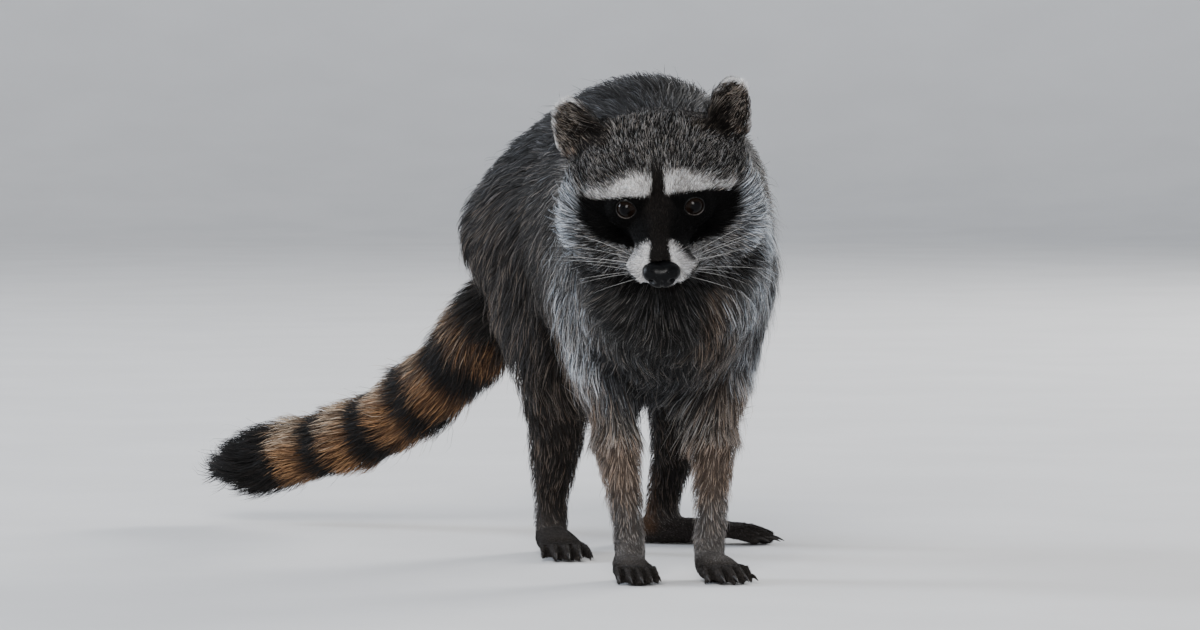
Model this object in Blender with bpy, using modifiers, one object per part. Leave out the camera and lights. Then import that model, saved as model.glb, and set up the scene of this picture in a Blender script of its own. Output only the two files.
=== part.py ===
"""A raccoon standing on all fours and looking ahead of itself to its right, life size and with its coat on.

The body is fused from lofted limbs and rounded masses, smoothed, and then parted by thin cuts into the
pieces that have names. Lengths are in millimetres up to the meshes, which are in metres, +Z up.
The animal faces -Y, its left is +X, and it stands on the plane Z = 0.
"""

import math

import bmesh
import bpy
import numpy as np
from mathutils import Matrix, Vector

MM = 0.001
GAP = 0.3                      # between pieces that touch
VOXEL = 1.6                    # grain of the fused body
BODY_TRIANGLES = 2800          # of the fused body, before the cuts
FINE_KEPT = 0.05               # how strongly the face, ears and feet keep theirs
SIDES = {"left": 1, "right": -1}

# Trunk: x and y of its middle line, and the coat's top, bottom and half width there
TRUNK = [
    (0, 22, 228, 136, 48), (0, 46, 254, 116, 62), (3, 80, 277, 105, 72), (8, 125, 297, 105, 77),
    (14, 175, 314, 108, 82), (19, 222, 322, 113, 87), (13, 272, 311, 120, 90), (3, 316, 290, 130, 90),
    (-7, 350, 266, 143, 84), (-12, 378, 240, 157, 66), (-15, 397, 219, 173, 40),
]
# Neck: x, y, z and its half width and the coat's depth above and below
NECK = [
    (-22, -22, 246, 56, 42, 62), (-13, 8, 236, 62, 48, 82), (-3, 42, 214, 68, 60, 90),
    (2, 80, 206, 72, 68, 92),
]

# Head, in its own frame: the origin is midway between the eyes, -y is forward
EYES_MID = (-31.2, -70.0, 242.0)
HEAD_YAW, HEAD_PITCH, HEAD_ROLL = -12.0, 20.0, -3.0
EYE_RADIUS = 7.6
EYE_SPREAD, EYE_FORWARD = 20.4, -6.5
NOSE_AT, NOSE_SIZE = (-0.6, -47.0, -27.6), (11.4, 8.0, 7.8)
EAR_HEIGHT, EAR_WIDTH, EAR_SHELL, EAR_CUP = 41.0, 34.0, 5.6, 9.5
EAR_AT = {"left": (40.0, 42.0, 27.0), "right": (41.0, 42.0, 20.0)}
EAR_LEAN = {"left": 10.0, "right": 21.0}
EAR_TURN = {"left": 14.0, "right": 26.0}

# Legs: x, y, z of the joints and the coat's half sizes there (half width, front, back)
FORE_X = {"left": 31.0, "right": 27.0}
WRIST_INSIDE, ELBOW_Z = {"left": 5.0, "right": 0.0}, 104.0   # how far the paw stands inside the elbow
FORELEG = [
    (14, 74, 240, 27, 28, 34), (15, 78, 188, 30, 31, 36), (9, 82, 140, 26, 27, 28),
    (4, 75, 104, 19, 20, 21), (2, 65, 74, 14, 14.5, 15.5), (0, 55, 45, 11, 11.5, 12.5),
    (-1, 50, 26, 10.4, 10.5, 11), (-1, 47, 12, 10, 10, 10),
]
HINDLEG = {
    "left": [(38, 312, 225, 36, 48, 42), (48, 296, 178, 33, 50, 46), (54, 276, 134, 27, 36, 38),
             (58, 300, 94, 21, 23, 25), (60, 322, 60, 17, 15, 17), (57, 336, 34, 14, 13, 13),
             (54, 337, 16, 11, 11, 11)],
    "right": [(-40, 302, 225, 36, 48, 44), (-43, 282, 178, 34, 54, 50), (-38, 260, 134, 30, 38, 40),
              (-31, 264, 94, 23, 25, 26), (-31, 273, 60, 17.5, 17, 18), (-32, 281, 34, 13.5, 13, 14),
              (-32, 280, 16, 12, 11, 11)],
}

# Feet: where the wrist or ankle stands, and the way the toes point, in degrees towards +x
FEET = {
    "forepaw_left": dict(at=(25, 44), heading=5, heel=6, sole=30, toe=19, half_width=13.2, fan=1.32),
    "forepaw_right": dict(at=(-27.5, 49), heading=-2, heel=6, sole=30, toe=19, half_width=12.6, fan=1.18),
    "hind_foot_left": dict(at=(51, 338), heading=72, heel=13, sole=53, toe=24, half_width=13.5, fan=1.15),
    "hind_foot_right": dict(at=(-32, 278), heading=-4, heel=12, sole=62, toe=24, half_width=14.5, fan=1.3),
}
SOLE_SUNK = 1.4                # how far the soles are modelled below the ground, which cuts them flat
TOE_RADIUS, TOE_HEIGHT = 3.1, 4.2
CLAW_LENGTH, CLAW_RADIUS = 8.5, 1.7

# Tail: x, y, z and the coat's radius
TAIL = [
    (-10, 352, 212, 26), (-26, 382, 186, 30), (-49, 402, 152, 31), (-70, 430, 118, 31),
    (-92, 462, 91, 30), (-115, 495, 72, 29), (-142, 527, 59, 28.5), (-170, 555, 50, 28),
    (-193, 576, 43, 25), (-208, 588, 38, 16), (-215, 594, 35, 5),
]
TAIL_CUTS = (0.36, 0.55, 0.73)  # shares of the way along the tail

COATS = {
    "grey_coat": ((0.16, 0.14, 0.12), 0.9), "dark_coat": ((0.05, 0.045, 0.04), 0.9),
    "pale_coat": ((0.45, 0.42, 0.38), 0.9), "tail_coat": ((0.2, 0.13, 0.08), 0.9),
    "foot_skin": ((0.03, 0.028, 0.026), 0.7), "nose_leather": ((0.01, 0.01, 0.011), 0.35),
    "eye": ((0.012, 0.008, 0.006), 0.08), "claw": ((0.04, 0.034, 0.03), 0.4),
}


def clear_scene():
    for thing in list(bpy.data.objects):
        bpy.data.objects.remove(thing)


def collection(name):
    made = bpy.data.collections.new(name)
    bpy.context.scene.collection.children.link(made)
    return made


def material(name):
    colour, roughness = COATS[name]
    made = bpy.data.materials.get(name) or bpy.data.materials.new(name)
    made.use_nodes = True
    shader = made.node_tree.nodes["Principled BSDF"]
    shader.inputs["Base Color"].default_value = (*colour, 1)
    shader.inputs["Roughness"].default_value = roughness
    shader.inputs["Metallic"].default_value = 0.0
    return made


def head_matrix():
    """From the head's own frame to the animal's, in millimetres."""
    turn = [Matrix.Rotation(math.radians(a), 4, axis)
            for a, axis in ((HEAD_YAW, "Z"), (HEAD_PITCH, "X"), (HEAD_ROLL, "Y"))]
    return Matrix.Translation(EYES_MID) @ turn[0] @ turn[1] @ turn[2]


def between(stations, steps):
    """Catmull-Rom values between the stations, so that a limb has no corners."""
    keys = np.array([stations[0], *stations, stations[-1]], float)
    found = []
    for i in range(1, len(keys) - 2):
        a, b, c, d = keys[i - 1:i + 3]
        for t in np.arange(steps) / steps:
            found.append(0.5 * (2 * b + (c - a) * t + (2 * a - 5 * b + 4 * c - d) * t ** 2
                                + (3 * b - a - 3 * c + d) * t ** 3))
    return np.array([*found, keys[-2]])


def loft(mesh, stations, across=(1, 0, 0), sides=20, steps=4, matrix=Matrix()):
    """Rings (x, y, z, half width, half front or top, half back or bottom, bend) joined along a path.

    The half width lies along `across`; bend pulls a ring's two side edges towards its front."""
    rows = between([tuple(s) + (0,) * (7 - len(s)) for s in stations], steps)
    centres = rows[:, :3]
    rings = []
    for i, row in enumerate(rows):
        along = Vector(centres[min(i + 1, len(rows) - 1)] - centres[max(i - 1, 0)]).normalized()
        side = (Vector(across) - along * along.dot(Vector(across))).normalized()
        front = side.cross(along).normalized()
        ring = []
        for k in range(sides):
            c, s = math.cos(math.tau * k / sides), math.sin(math.tau * k / sides)
            point = Vector(row[:3]) + side * (c * row[3]) + front * (s * (row[4] if s > 0 else row[5]))
            ring.append(mesh.verts.new(matrix @ (point + front * (row[6] * c * c))))
        rings.append(ring)
    for first, second in zip(rings, rings[1:]):
        for k in range(sides):
            n = (k + 1) % sides
            mesh.faces.new((first[k], first[n], second[n], second[k]))
    mesh.faces.new(rings[0][::-1])
    mesh.faces.new(rings[-1])


def mass(mesh, centre, radii, matrix=Matrix(), rings=14):
    """A rounded mass: a sphere stretched to three half sizes."""
    place = matrix @ Matrix.Translation(centre) @ Matrix.Diagonal((*radii, 1))
    bmesh.ops.create_uvsphere(mesh, u_segments=2 * rings, v_segments=rings, radius=1, matrix=place)


def to_object(mesh, name, group, look=None):
    """The bmesh as an object, its millimetres made metres and its faces turned outwards."""
    bmesh.ops.transform(mesh, matrix=Matrix.Scale(MM, 4), verts=mesh.verts)
    bmesh.ops.recalc_face_normals(mesh, faces=mesh.faces)
    data = bpy.data.meshes.new(name)
    mesh.to_mesh(data)
    mesh.free()
    thing = bpy.data.objects.new(name, data)
    group.objects.link(thing)
    if look:
        data.materials.append(material(look))
    return thing


def trunk_form(mesh):
    loft(mesh, [(x, y, (top + low) / 2, wide, (top - low) / 2, (top - low) / 2)
                for x, y, top, low, wide in TRUNK], sides=32)
    loft(mesh, NECK, sides=32)


def head_form(mesh):
    """Skull, muzzle, jaw, whisker pads, cheeks and brows, in the head's own frame."""
    place = head_matrix()
    skull = [(0, -7, 1, 25, 11, 14), (0, 3, 2, 42, 20, 26), (0, 18, 6, 51, 31, 36),
             (0, 36, 8, 56, 38, 46), (0, 58, 4, 57, 38, 52), (0, 80, -10, 53, 34, 52),
             (0, 100, -26, 48, 28, 50)]
    muzzle = [(0, -47, -25, 11, 7.5, 9), (0, -41, -23.5, 13.5, 10, 12), (0, -31, -19, 16, 12.5, 15),
              (0, -19, -15.5, 18, 14.5, 17.5), (0, -6, -12, 21, 16, 20), (0, 10, -9, 29, 18, 24)]
    jaw = [(0, -37, -36, 8, 6, 6), (0, -26, -37, 13, 8, 8), (0, -8, -38, 23, 12, 12),
           (0, 18, -38, 36, 20, 20)]
    for stations in (skull, muzzle, jaw):
        loft(mesh, stations, sides=28, matrix=place)
    for way in SIDES.values():
        mass(mesh, (way * 34, 42, -22), (35, 38, 42), place)          # cheek ruff
        mass(mesh, (way * 10.5, -33, -27), (11, 13, 10), place)       # whisker pad
        mass(mesh, (way * 21, 5, 12.5), (15, 9, 6), place)            # brow
        mass(mesh, (way * 31, 18, -15), (18, 15, 17), place)          # cheekbone


def ear_matrix(side):
    """From an ear's own frame, +z along it and -y into its cup, to the animal's."""
    way = SIDES[side]
    x, y, z = EAR_AT[side]
    return (head_matrix() @ Matrix.Translation((way * x, y, z))
            @ Matrix.Rotation(math.radians(way * EAR_LEAN[side]), 4, "Y")
            @ Matrix.Rotation(math.radians(way * EAR_TURN[side]), 4, "Z"))


def ear_form(mesh, side):
    """A cupped shell, widest below the middle, leaning out and turned a little outwards."""
    stations = []
    for share in (-0.35, -0.1, 0.15, 0.4, 0.6, 0.78, 0.9, 0.97):
        from_middle = (share - 0.34) / 0.66
        wide = EAR_WIDTH / 2 * math.sqrt(1 - from_middle ** 2) if share > 0.34 else EAR_WIDTH / 2
        cup = EAR_CUP * (1 - 0.72 * max(share, 0) ** 1.6)
        thick = EAR_SHELL / 2 * (1.5 - 0.75 * max(share, 0))
        stations.append((0, 0, share * EAR_HEIGHT, wide, thick, thick, cup))
    loft(mesh, stations, across=(1, 0, 0), sides=28, matrix=ear_matrix(side))


def leg_forms(mesh):
    for side, way in SIDES.items():
        rows = []
        for x, y, z, wide, front, back in FORELEG:
            inwards = WRIST_INSIDE[side] * max(1 - z / ELBOW_Z, 0)
            rows.append((way * (FORE_X[side] + x - inwards), y, z, wide, back, front))
        loft(mesh, rows)
        loft(mesh, [(x, y, z, wide, back, front) for x, y, z, wide, front, back in HINDLEG[side]])


def foot_matrix(foot):
    x, y = foot["at"]
    return Matrix.Translation((x, y, 0)) @ Matrix.Rotation(math.radians(foot["heading"]), 4, "Z")


def toe_line(foot, number):
    """Base, knuckle and tip of a toe, numbered -2 to 2 across the foot, in the foot's own frame."""
    base_y = -foot["sole"] + 7 + 1.3 * number ** 2
    tip_y = -foot["sole"] - foot["toe"] + 2.1 * number ** 2
    spread = foot["half_width"] * 0.41 * number
    fanned = spread * foot["fan"]
    return ((spread, base_y, 8), ((spread + fanned) / 2, (base_y + tip_y) / 2, 7.4), (fanned, tip_y, 2.9))


def foot_form(mesh, foot):
    place, wide, sole = foot_matrix(foot), foot["half_width"], foot["sole"]
    pad = [(5 - sole, 7.5, 0.8, 5), (9 - sole, 8.5, 1.0, 6.5), (-0.55 * sole, 10, 0.92, 7.5),
           (0, 10, 0.8, 9), (foot["heel"], 8, 0.62, 7)]
    loft(mesh, [(0, y, z, share * wide, top, z + SOLE_SUNK) for y, z, share, top in pad],
         sides=20, matrix=place)
    for number in range(-2, 3):
        base, knuckle, tip = toe_line(foot, number)
        toe = [(*at, TOE_RADIUS, height, height)
               for at, height in ((base, TOE_HEIGHT), (knuckle, TOE_HEIGHT), (tip, TOE_RADIUS))]
        loft(mesh, toe, sides=12, matrix=place)
        mass(mesh, tip, (TOE_RADIUS, 4.4, 3.6), place, rings=8)


def tail_form(mesh):
    loft(mesh, [(x, y, z, r, r, r) for x, y, z, r in TAIL], across=(0.5, -0.6, 0), sides=24)


def as_mesh(thing, name, group):
    """A copy of the object with its modifiers applied."""
    graph = bpy.context.evaluated_depsgraph_get()
    made = bpy.data.objects.new(name, bpy.data.meshes.new_from_object(thing.evaluated_get(graph)))
    group.objects.link(made)
    return made


def fine_share(point):
    """1 where the form is small, as on the face, ears and feet, and 0 on the trunk."""
    x, y, z = (c / MM for c in point)
    local = head_matrix().inverted() @ Vector((x, y, z))
    face = max(0.0, min(1.0, (34 - local.y) / 24)) if z > 90 and y < 30 else 0.0
    beyond = local.z - 26 - 0.25 * abs(local.x)
    ear = max(0.0, min(1.0, beyond / 8)) if abs(local.x) > 24 and y < 60 else 0.0
    foot = max(0.0, min(1.0, (30 - z) / 10)) if y < 400 else 0.0
    return max(face, ear, foot)


def fused_body(group):
    """The whole animal but its eyes, nose and claws, as one smooth closed mesh."""
    mesh = bmesh.new()
    trunk_form(mesh)
    head_form(mesh)
    leg_forms(mesh)
    tail_form(mesh)
    for side in SIDES:
        ear_form(mesh, side)
    for foot in FEET.values():
        foot_form(mesh, foot)
    rough = to_object(mesh, "rough_body", group)
    remesh = rough.modifiers.new("fuse", "REMESH")
    remesh.mode = "VOXEL"
    remesh.voxel_size = VOXEL * MM
    body = as_mesh(rough, "fused_body", group)
    broad = body.vertex_groups.new(name="broad")
    for vertex in body.data.vertices:
        broad.add([vertex.index], 1 - 0.88 * fine_share(vertex.co), "REPLACE")
    smooth = body.modifiers.new("smooth", "SMOOTH")
    smooth.factor = 0.5
    smooth.iterations = 34
    smooth.vertex_group = "broad"
    thin = body.modifiers.new("thin", "DECIMATE")
    thin.ratio = BODY_TRIANGLES / (2 * len(body.data.polygons))
    thin.vertex_group = "broad"
    thin.vertex_group_factor = FINE_KEPT
    whole = as_mesh(body, "whole_body", group)
    for guide in (rough, body):
        bpy.data.objects.remove(guide)
    return whole


def boolean(thing, cutter, operation, name, group):
    """A new object: the thing cut by, or kept within, the cutter."""
    cut = thing.modifiers.new(operation.lower(), "BOOLEAN")
    cut.solver = "MANIFOLD"                    # the exact solver leaves nothing of a body this fine
    cut.operation = operation
    cut.object = cutter
    made = as_mesh(thing, name, group)
    thing.modifiers.remove(cut)
    return made


class Cutter:
    """A box or an oval in a frame of its own, which can be made a little larger for the gap."""

    def __init__(self, low=None, high=None, matrix=Matrix(), centre=None, radii=None):
        self.low, self.high, self.matrix, self.centre, self.radii = low, high, matrix, centre, radii

    def build(self, grown, group):
        mesh = bmesh.new()
        if self.radii:
            mass(mesh, self.centre, [r + grown for r in self.radii], self.matrix, rings=9)
        else:
            low = Vector(self.low) - Vector((grown,) * 3)
            size = Vector(self.high) + Vector((grown,) * 3) - low
            place = self.matrix @ Matrix.Translation(low + size / 2) @ Matrix.Diagonal((*size, 1))
            bmesh.ops.create_cube(mesh, size=1, matrix=place)
        made = to_object(mesh, "cutter", group)
        made.hide_render = True
        made.display_type = "WIRE"
        return made


def part_off(body, cutter, name, look, group, scratch):
    """Takes what lies in the cutter off the body as a node of that name. Returns the node and the rest."""
    exact, grown = cutter.build(0, scratch), cutter.build(GAP, scratch)
    node = boolean(body, exact, "INTERSECT", name, group)
    rest = boolean(body, grown, "DIFFERENCE", "rest_of_body", scratch)
    for used in (exact, grown, body):
        bpy.data.objects.remove(used)
    finish(node, name, look)
    return node, rest


def finish(node, name, look):
    node.name = node.data.name = name
    node.data.materials.clear()
    node.data.materials.append(material(look))
    node.data.shade_smooth()
    node.data.set_sharp_from_angle(angle=math.radians(40))


def half_space(at, normal, reach=420):
    """A large box whose flat face passes through `at` and which lies on the normal's side."""
    turn = Vector((0, 0, 1)).rotation_difference(Vector(normal)).to_matrix().to_4x4()
    place = Matrix.Translation(at) @ turn
    return Cutter((-reach, -reach, 0), (reach, reach, 2 * reach), place)


def tail_at(share):
    """A point on the tail's path and the way it runs there."""
    rows = between(TAIL, 12)[:, :3]
    steps = np.linalg.norm(np.diff(rows, axis=0), axis=1)
    i = int(np.searchsorted(np.cumsum(steps), share * steps.sum()))
    return Vector(rows[i]), Vector(rows[i + 1] - rows[i]).normalized()


def part_body(whole, group, scratch):
    """Cuts the fused body into its named pieces, the outer ones first."""
    head = head_matrix()
    ground = Cutter((-600, -600, -60), (600, 900, 0))
    flat = boolean(whole, ground.build(0, scratch), "DIFFERENCE", "standing_body", scratch)
    bpy.data.objects.remove(whole)

    rest = cut_legs(flat, group, scratch)
    rest = cut_tail(rest, group, scratch)
    head_box = Cutter((-110, -120, -58), (110, 60, 110), head)
    skull, rest = part_off(rest, head_box, "head", "grey_coat", group, scratch)
    for side in SIDES:
        ear_box = Cutter((-18.6, -15, 11), (18.6, 7, 60), ear_matrix(side))
        _, skull = part_off(skull, ear_box, f"ear_{side}", "pale_coat", group, scratch)
    set_in_eyes_and_nose(skull, group, scratch)

    neck_face = half_space((0, 40, 196), (0, -0.81, 0.59))
    _, rest = part_off(rest, neck_face, "neck", "grey_coat", group, scratch)
    _, rest = part_off(rest, half_space((0, 138, 200), (0, -1, 0)), "chest", "grey_coat", group, scratch)
    _, rest = part_off(rest, half_space((0, 245, 200), (0, -1, 0)), "belly", "grey_coat", group, scratch)
    finish(rest, "rump", "grey_coat")
    group.objects.link(rest)
    scratch.objects.unlink(rest)


def cut_tail(body, group, scratch):
    tail, rest = part_off(body, half_space((-30, 388, 178), (-0.35, 0.8, -0.5)), "tail_4", "tail_coat",
                          group, scratch)
    for number, share in enumerate(TAIL_CUTS, start=1):
        at, along = tail_at(share)
        _, tail = part_off(tail, half_space(at, -along), f"tail_{number}", "tail_coat", group, scratch)
    finish(tail, "tail_4", "tail_coat")
    group.objects.link(tail)
    scratch.objects.unlink(tail)
    return rest


def cut_legs(rest, group, scratch):
    """Each leg in three: the foot, the shank or forearm, and the thigh or shoulder."""
    for side, way in SIDES.items():
        inner, outer = sorted((way * 9.0, way * 90.0))
        foot_box = Cutter((inner, -40, -5), (outer, 90, 30))
        _, rest = part_off(rest, foot_box, f"forepaw_{side}", "foot_skin", group, scratch)
        shin_box = Cutter((inner, 20, 25), (outer, 112, 98))
        _, rest = part_off(rest, shin_box, f"forearm_{side}", "grey_coat", group, scratch)
        shoulder = Cutter(centre=(way * 62, 80, 165), radii=(38, 42, 74))
        _, rest = part_off(rest, shoulder, f"shoulder_{side}", "grey_coat", group, scratch)
        inner, outer = sorted((way * 5.0, way * 150.0))
        foot_box = Cutter((inner, 150, -5), (outer, 365, 27))
        _, rest = part_off(rest, foot_box, f"hind_foot_{side}", "foot_skin", group, scratch)
        shin_box = Cutter((inner, 195, 22), (outer, 365, 104))
        _, rest = part_off(rest, shin_box, f"shank_{side}", "dark_coat", group, scratch)
        knee_y = HINDLEG[side][2][1]
        thigh = Cutter(centre=(way * 60, knee_y + 18, 162), radii=(46, 70, 76))
        _, rest = part_off(rest, thigh, f"thigh_{side}", "dark_coat", group, scratch)
    return rest


def set_in_eyes_and_nose(skull, group, scratch):
    """The eyeballs and the nose pad, each sunk in the head with the gap round it."""
    place = head_matrix()
    pieces = {f"eye_{side}": ((way * EYE_SPREAD, EYE_FORWARD, 0), (EYE_RADIUS,) * 3, "eye", 8)
              for side, way in SIDES.items()}
    pieces["nose"] = (NOSE_AT, NOSE_SIZE, "nose_leather", 9)
    for name, (centre, radii, look, rings) in pieces.items():
        mesh = bmesh.new()
        mass(mesh, centre, radii, place, rings)
        finish(to_object(mesh, name, group), name, look)
        hollow = Cutter(centre=centre, radii=radii, matrix=place).build(GAP, scratch)
        cut = boolean(skull, hollow, "DIFFERENCE", "head_cut", group)
        for used in (skull, hollow):
            bpy.data.objects.remove(used)
        skull = cut
    finish(skull, "head", "grey_coat")


def claws(group):
    """A short curved claw ahead of each toe, clear of the toe and of the ground."""
    for name, foot in FEET.items():
        for number in range(-2, 3):
            _, knuckle, tip = toe_line(foot, number)
            ahead = (Vector(tip) - Vector(knuckle)) * Vector((1, 1, 0))
            ahead.normalize()
            start = Vector(tip) + ahead * (4.4 + GAP + 0.3) + Vector((0, 0, 1.4))
            rows = []
            for share in (0.0, 0.35, 0.7, 1.0):
                point = start + ahead * (CLAW_LENGTH * share) - Vector((0, 0, 2.9 * share ** 2))
                radius = CLAW_RADIUS * (1 - 0.75 * share)
                rows.append((*point, radius * 0.8, radius, radius))
            mesh = bmesh.new()
            across = Vector((ahead.y, -ahead.x, 0))
            loft(mesh, rows, across=across, sides=6, steps=1, matrix=foot_matrix(foot))
            label = f"claw_{name}_{number + 3}"
            finish(to_object(mesh, label, group), label, "claw")


def centre_on_origin(group):
    """Moves every piece so that the origin is under the middle of the animal's box, on the ground."""
    points = np.array([v.co for thing in group.objects for v in thing.data.vertices])
    middle = (points.min(axis=0) + points.max(axis=0)) / 2
    for thing in group.objects:
        thing.data.transform(Matrix.Translation((-middle[0], -middle[1], 0)))


def main():
    clear_scene()
    raccoon, scratch = collection("raccoon"), collection("cutters")
    part_body(fused_body(scratch), raccoon, scratch)
    claws(raccoon)
    centre_on_origin(raccoon)
    for leftover in list(scratch.objects):
        bpy.data.objects.remove(leftover)
    bpy.data.collections.remove(scratch)


main()
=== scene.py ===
"""A raccoon standing on all fours, life size.

One skin without a seam, a coat of tufts lying along it, eyes, nose pad, claws and whiskers.
Lengths in the tables are in millimetres and turns in degrees. What is built is in metres, +Z up;
the animal faces -Y and its left is +X.
"""

import math

import bmesh
import bpy
import numpy as np
from mathutils import Matrix, Vector
from mathutils.bvhtree import BVHTree
from mathutils.kdtree import KDTree


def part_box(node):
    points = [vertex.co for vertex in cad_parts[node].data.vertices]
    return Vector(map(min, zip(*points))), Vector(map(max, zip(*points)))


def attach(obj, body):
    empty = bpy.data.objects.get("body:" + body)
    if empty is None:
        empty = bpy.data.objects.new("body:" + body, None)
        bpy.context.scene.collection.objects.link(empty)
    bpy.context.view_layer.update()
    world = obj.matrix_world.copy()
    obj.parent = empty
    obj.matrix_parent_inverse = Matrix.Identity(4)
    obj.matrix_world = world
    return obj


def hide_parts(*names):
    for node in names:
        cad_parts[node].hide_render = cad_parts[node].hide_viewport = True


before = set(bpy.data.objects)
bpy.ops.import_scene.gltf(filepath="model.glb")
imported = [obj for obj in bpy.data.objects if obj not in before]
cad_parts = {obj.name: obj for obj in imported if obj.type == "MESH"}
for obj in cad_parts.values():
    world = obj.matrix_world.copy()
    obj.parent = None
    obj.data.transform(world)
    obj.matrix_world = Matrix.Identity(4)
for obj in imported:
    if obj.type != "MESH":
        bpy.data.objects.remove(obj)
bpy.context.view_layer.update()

MM = 0.001
SIDES = {"left": 1, "right": -1}
chance = np.random.default_rng(7)
WAVES = chance.normal(0, 1, (24, 3))
WAVE_STARTS = chance.uniform(0, 2 * math.pi, 24)

# ---------------------------------------------------------------- places taken from the CAD


def unit(vectors):
    return vectors / np.maximum(np.linalg.norm(vectors, axis=-1, keepdims=True), 1e-12)


def middle(node):
    low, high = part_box(node)
    return np.array((low + high) / 2)


EYE_AT = {side: middle(f"eye_{side}") for side in SIDES}
NOSE_AT = middle("nose")
EYE_RADIUS = 7.6
EYE_FORWARD = -6.5             # of the eyes' centres, in the head's own frame
NOSE_FALL = math.atan2(27.6, 40.5)


def head_frame():
    """Origin and axes of the head: x to its left, y backwards, z up."""
    across = unit(EYE_AT["left"] - EYE_AT["right"])
    between = (EYE_AT["left"] + EYE_AT["right"]) / 2
    to_nose = NOSE_AT - between
    to_nose = unit(to_nose - across * (to_nose @ across))
    lifted = np.cross(across, -to_nose)
    ahead = to_nose * math.cos(NOSE_FALL) + lifted * math.sin(NOSE_FALL)
    up = lifted * math.cos(NOSE_FALL) - to_nose * math.sin(NOSE_FALL)
    axes = np.array([across, -ahead, up])
    return between - axes[1] * EYE_FORWARD * MM, axes


HEAD_AT, HEAD_AXES = head_frame()
EAR_AT = {"left": (40.0, 42.0, 27.0), "right": (41.0, 42.0, 20.0)}
EAR_LEAN = {"left": 10.0, "right": 21.0}
EAR_TURN = {"left": 14.0, "right": 26.0}
HEADINGS = {"forepaw_left": 5, "forepaw_right": -2, "hind_foot_left": 72, "hind_foot_right": -4}
CLAWS = range(1, 6)
TAIL_FROM_EYES = [  # the tail's path, from the head's origin
    (21.2, 422, -30), (5.2, 452, -56), (-17.8, 472, -90), (-38.8, 500, -124), (-60.8, 532, -151),
    (-83.8, 565, -170), (-110.8, 597, -183), (-138.8, 625, -192), (-161.8, 646, -199),
    (-176.8, 658, -204), (-183.8, 664, -207),
]
TAIL_STEPS, TAIL_EASED = 120, 8          # points along the path, and how often it is evened out


def foot_axes(name):
    """The way a foot points and the way across it."""
    turn = math.radians(HEADINGS[name])
    c, s = math.cos(turn), math.sin(turn)
    return np.array([s, -c, 0]), np.array([c, s, 0])


def in_head(points):
    return (points - HEAD_AT) @ HEAD_AXES.T / MM


def from_head(points):
    return HEAD_AT + (np.asarray(points, float) * MM) @ HEAD_AXES


def from_eyes(points):
    """How far each point lies from the nearer eye, in millimetres."""
    gaps = (np.linalg.norm(points - EYE_AT[side], axis=1) / MM for side in SIDES)
    return np.minimum(*gaps)


def ear_frame(side):
    """Origin and axes of an ear: z along it, y out of its back, -y into its cup."""
    way = SIDES[side]
    turn = (Matrix.Rotation(math.radians(way * EAR_LEAN[side]), 3, "Y")
            @ Matrix.Rotation(math.radians(way * EAR_TURN[side]), 3, "Z"))
    x, y, z = EAR_AT[side]
    return from_head((way * x, y, z)), np.array(turn).T @ HEAD_AXES


EAR_FRAMES = {side: ear_frame(side) for side in SIDES}


def in_ear(points, side):
    origin, axes = EAR_FRAMES[side]
    return (points - origin) @ axes.T / MM


def tail_path():
    """Points along the tail, the way it runs at each, and how far along each lies, from 0 to 1."""
    rows = np.array(TAIL_FROM_EYES, float)
    at = np.arange(len(rows))
    places = np.linspace(0, len(rows) - 1, TAIL_STEPS)
    line = np.stack([np.interp(places, at, part) for part in rows.T], axis=1)
    for _ in range(TAIL_EASED):
        line[1:-1] = (line[:-2] + 2 * line[1:-1] + line[2:]) / 4
    points = HEAD_AT + line * MM
    along = unit(np.gradient(points, axis=0))
    run = np.concatenate([[0], np.cumsum(np.linalg.norm(np.diff(points, axis=0), axis=1))])
    return points, along, run / run[-1]


TAIL_POINTS, TAIL_ALONG, TAIL_RUN = tail_path()
AT_ONCE = 20000                # how many points are held against the tail's path in one go


def along_tail(points):
    """How far along the tail each point is, the way the tail runs there and the offset from it."""
    nearest = np.empty(len(points), int)
    for start in range(0, len(points), AT_ONCE):
        some = slice(start, start + AT_ONCE)
        gaps = ((points[some, None, :] - TAIL_POINTS[None]) ** 2).sum(axis=2)
        nearest[some] = gaps.argmin(axis=1)
    offset = points - TAIL_POINTS[nearest]
    forward = (offset * TAIL_ALONG[nearest]).sum(axis=1)
    step = np.gradient(TAIL_RUN) / np.linalg.norm(np.gradient(TAIL_POINTS, axis=0), axis=1)
    return TAIL_RUN[nearest] + forward * step[nearest], TAIL_ALONG[nearest], offset


# ---------------------------------------------------------------- small tools


def select_only(thing):
    bpy.ops.object.select_all(action="DESELECT")
    thing.select_set(True)
    bpy.context.view_layer.objects.active = thing


def apply_modifier(thing, kind, **settings):
    select_only(thing)
    modifier = thing.modifiers.new(kind.lower(), kind)
    for name, value in settings.items():
        setattr(modifier, name, value)
    bpy.ops.object.modifier_apply(modifier=modifier.name)


def in_edit_mode(operator, **settings):
    bpy.ops.object.mode_set(mode="EDIT")
    operator(**settings)
    bpy.ops.object.mode_set(mode="OBJECT")


def rows_of(items, name, width, kind=float):
    """One property of every item, a row for each."""
    flat = np.empty(len(items) * width, kind)
    items.foreach_get(name, flat)
    return flat.reshape(-1, width)


def points_of(mesh):
    return rows_of(mesh.vertices, "co", 3)


def normals_of(mesh):
    return rows_of(mesh.vertex_normals, "vector", 3)


def edges_of(mesh):
    return rows_of(mesh.edges, "vertices", 2, int)


def place_points(mesh, points):
    mesh.vertices.foreach_set("co", np.ascontiguousarray(points, np.float32).ravel())
    mesh.update()


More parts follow.
